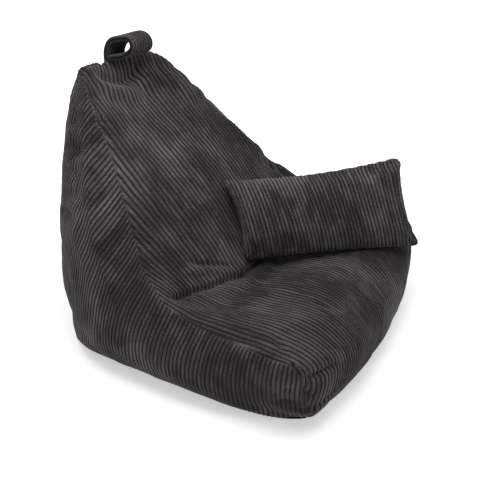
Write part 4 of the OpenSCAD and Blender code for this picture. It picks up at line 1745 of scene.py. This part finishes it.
cushion_front = cushion_panel("cushion_front_cover", 1, pile_painted_lighter)
cushion_back = cushion_panel("cushion_back_cover", -1, pile_painted_lighter)
pad = cushion_core("cushion_filling", lining)

# %% Zip in the bottom edge of the cushion
cushion_zip_in = cushion_bow + 0.008
turned = Matrix((
    (cushion_x[0], cushion_z[0], cushion_y[0], cushion_foot[0]),
    (cushion_x[1], cushion_z[1], cushion_y[1], cushion_foot[1]),
    (cushion_x[2], cushion_z[2], cushion_y[2], cushion_foot[2]),
    (0, 0, 0, 1)))
cushion_place = turned @ Matrix.Translation((0, 0, cushion_zip_in - tape_thick / 2))
mirrored = Matrix.Diagonal((1, -1, 1, 1))
cushion_place = cushion_place @ mirrored
cushion_zip = [put(part, cushion_place) for part in zip_parts("cushion_zip", cushion_zip_length)]
cushion_slider = put(slider_body("cushion_zip_slider_body", cushion_zip_length), cushion_place)
for part in cushion_zip + [cushion_slider]:
    part.data.flip_normals()

# %% [markdown]
# ## Bodies and hidden solids
#
# Every piece is hung on the body that carries it, and the solids that it stands in for are hidden.

# %% Area of a mesh, for the cut sizes
def area_of(obj):
    return sum(face.area for face in obj.data.polygons)


def assign(piece, body, nodes):
    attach(piece, body)
    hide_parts(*nodes)


for piece, body, node in (
        (seat_back, "bag", "seat_back_panel"), (rear, "bag", "rear_panel"),
        (side_left, "bag", "side_panel_left"), (side_right, "bag", "side_panel_right"),
        (base, "bag", "base_panel"), (strap, "handle", "handle_loop"),
        (bead, "handle", "handle_loop"), (cushion_front, "cushion", "cushion_front_panel"),
        (cushion_back, "cushion", "cushion_back_panel")):
    assign(piece, body, [node])
assign(liner, "bag", ["liner_front", "liner_rear", "liner_side_right", "liner_side_left",
                      "liner_base"])
assign(fill, "bag", ["bead_fill"])
assign(pad, "cushion", ["cushion_pad"])
for kit, body, name in ((base_zip, "bag", "base_zip"), (cushion_zip, "cushion", "cushion_zip")):
    assign(kit[0], body, [name + "_tapes"])
    assign(kit[1], body, [name + "_teeth"])
    assign(kit[2], body, [name + "_tapes"])
    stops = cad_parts[name + "_stops"]
    stops.data.materials.clear()
    stops.data.materials.append(metal)
assign(base_slider, "base_zip_slider", ["base_zip_slider"])
assign(cushion_slider, "cushion_zip_slider", ["cushion_zip_slider"])

# %% [markdown]
# ## Flat cuts
#
# Each sheet's flat size comes from its solid: the length of cloth along two planes that cut the
# panel, or the panel's own size, and half of its surface. The seam allowance and the share of the
# flat box's edge that counts as rim are guesses. Nothing is taken from the dressed meshes, whose
# wales add area, so the printed cut area and mesh area are two separate measures.

# %% Sheets and padded pieces
seam_allowance = 0.012
rim_share = 0.9


def cloth_length(node, axis, at):
    """Half of the line in which a plane cuts a thin solid, with a seam allowance at both ends."""
    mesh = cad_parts[node].data
    total = 0.0
    for face in mesh.polygons:
        corners = [mesh.vertices[k].co for k in face.vertices]
        crossings = []
        for start, end in zip(corners, corners[1:] + corners[:1]):
            if (start[axis] - at) * (end[axis] - at) < 0:
                crossings.append(start.lerp(end, (at - start[axis]) / (end[axis] - start[axis])))
        if len(crossings) == 2:
            total += (crossings[0] - crossings[1]).length
    return total / 2 + 2 * seam_allowance


def cut_area(node, flat):
    """Half of the solid's surface, with the seam allowance round its rim."""
    rim = rim_share * 2 * sum(flat)
    return area_of(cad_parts[node]) / 2 + rim * seam_allowance


def cut_of(node, across, along):
    """Flat size and area of a panel, from two planes, each an axis and a place on it."""
    flat = (cloth_length(node, *across), cloth_length(node, *along))
    return flat, cut_area(node, flat)


base_low, base_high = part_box("base_panel")
base_flat = tuple(base_high[axis] - base_low[axis] + 2 * seam_allowance for axis in (0, 1))
pillow_flat = (cushion_length + 2 * seam_allowance, cushion_height + 2 * seam_allowance)
strap_flat = (handle_width, cloth_length("handle_loop", 0, 0.0001))
side_planes = ((2, 0.2), (1, 0.42))
cuts = (
    (seat_back, *cut_of("seat_back_panel", (1, -0.35), (0, 0.0001)), "stretched", [liner], []),
    (rear, *cut_of("rear_panel", (2, 0.02), (0, 0.0001)), "stretched", [liner], []),
    (side_left, *cut_of("side_panel_left", *side_planes), "stretched", [liner], []),
    (side_right, *cut_of("side_panel_right", *side_planes), "stretched", [liner], []),
    (base, base_flat, cut_area("base_panel", base_flat), "laid", [], []),
    (strap, strap_flat, None, "folded", [seat_back], [bead]),
    (cushion_front, pillow_flat, None, "stretched", [pad], []),
    (cushion_back, pillow_flat, None, "stretched", [pad], []),
    (base_zip[0], (base_zip_length, 2 * tape_width), None, "laid", [base], [base_zip[2]]),
    (cushion_zip[0], (cushion_zip_length, 2 * tape_width), None, "stretched", [cushion_front],
     [cushion_zip[2]]),
)
for piece, flat, area, held, rests, extra in cuts:
    print(piece.name, "flat", [round(side, 3) for side in flat],
          "area", round(area or flat[0] * flat[1], 3), "mesh", round(area_of(piece), 3))
    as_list(rests)
    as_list(extra)
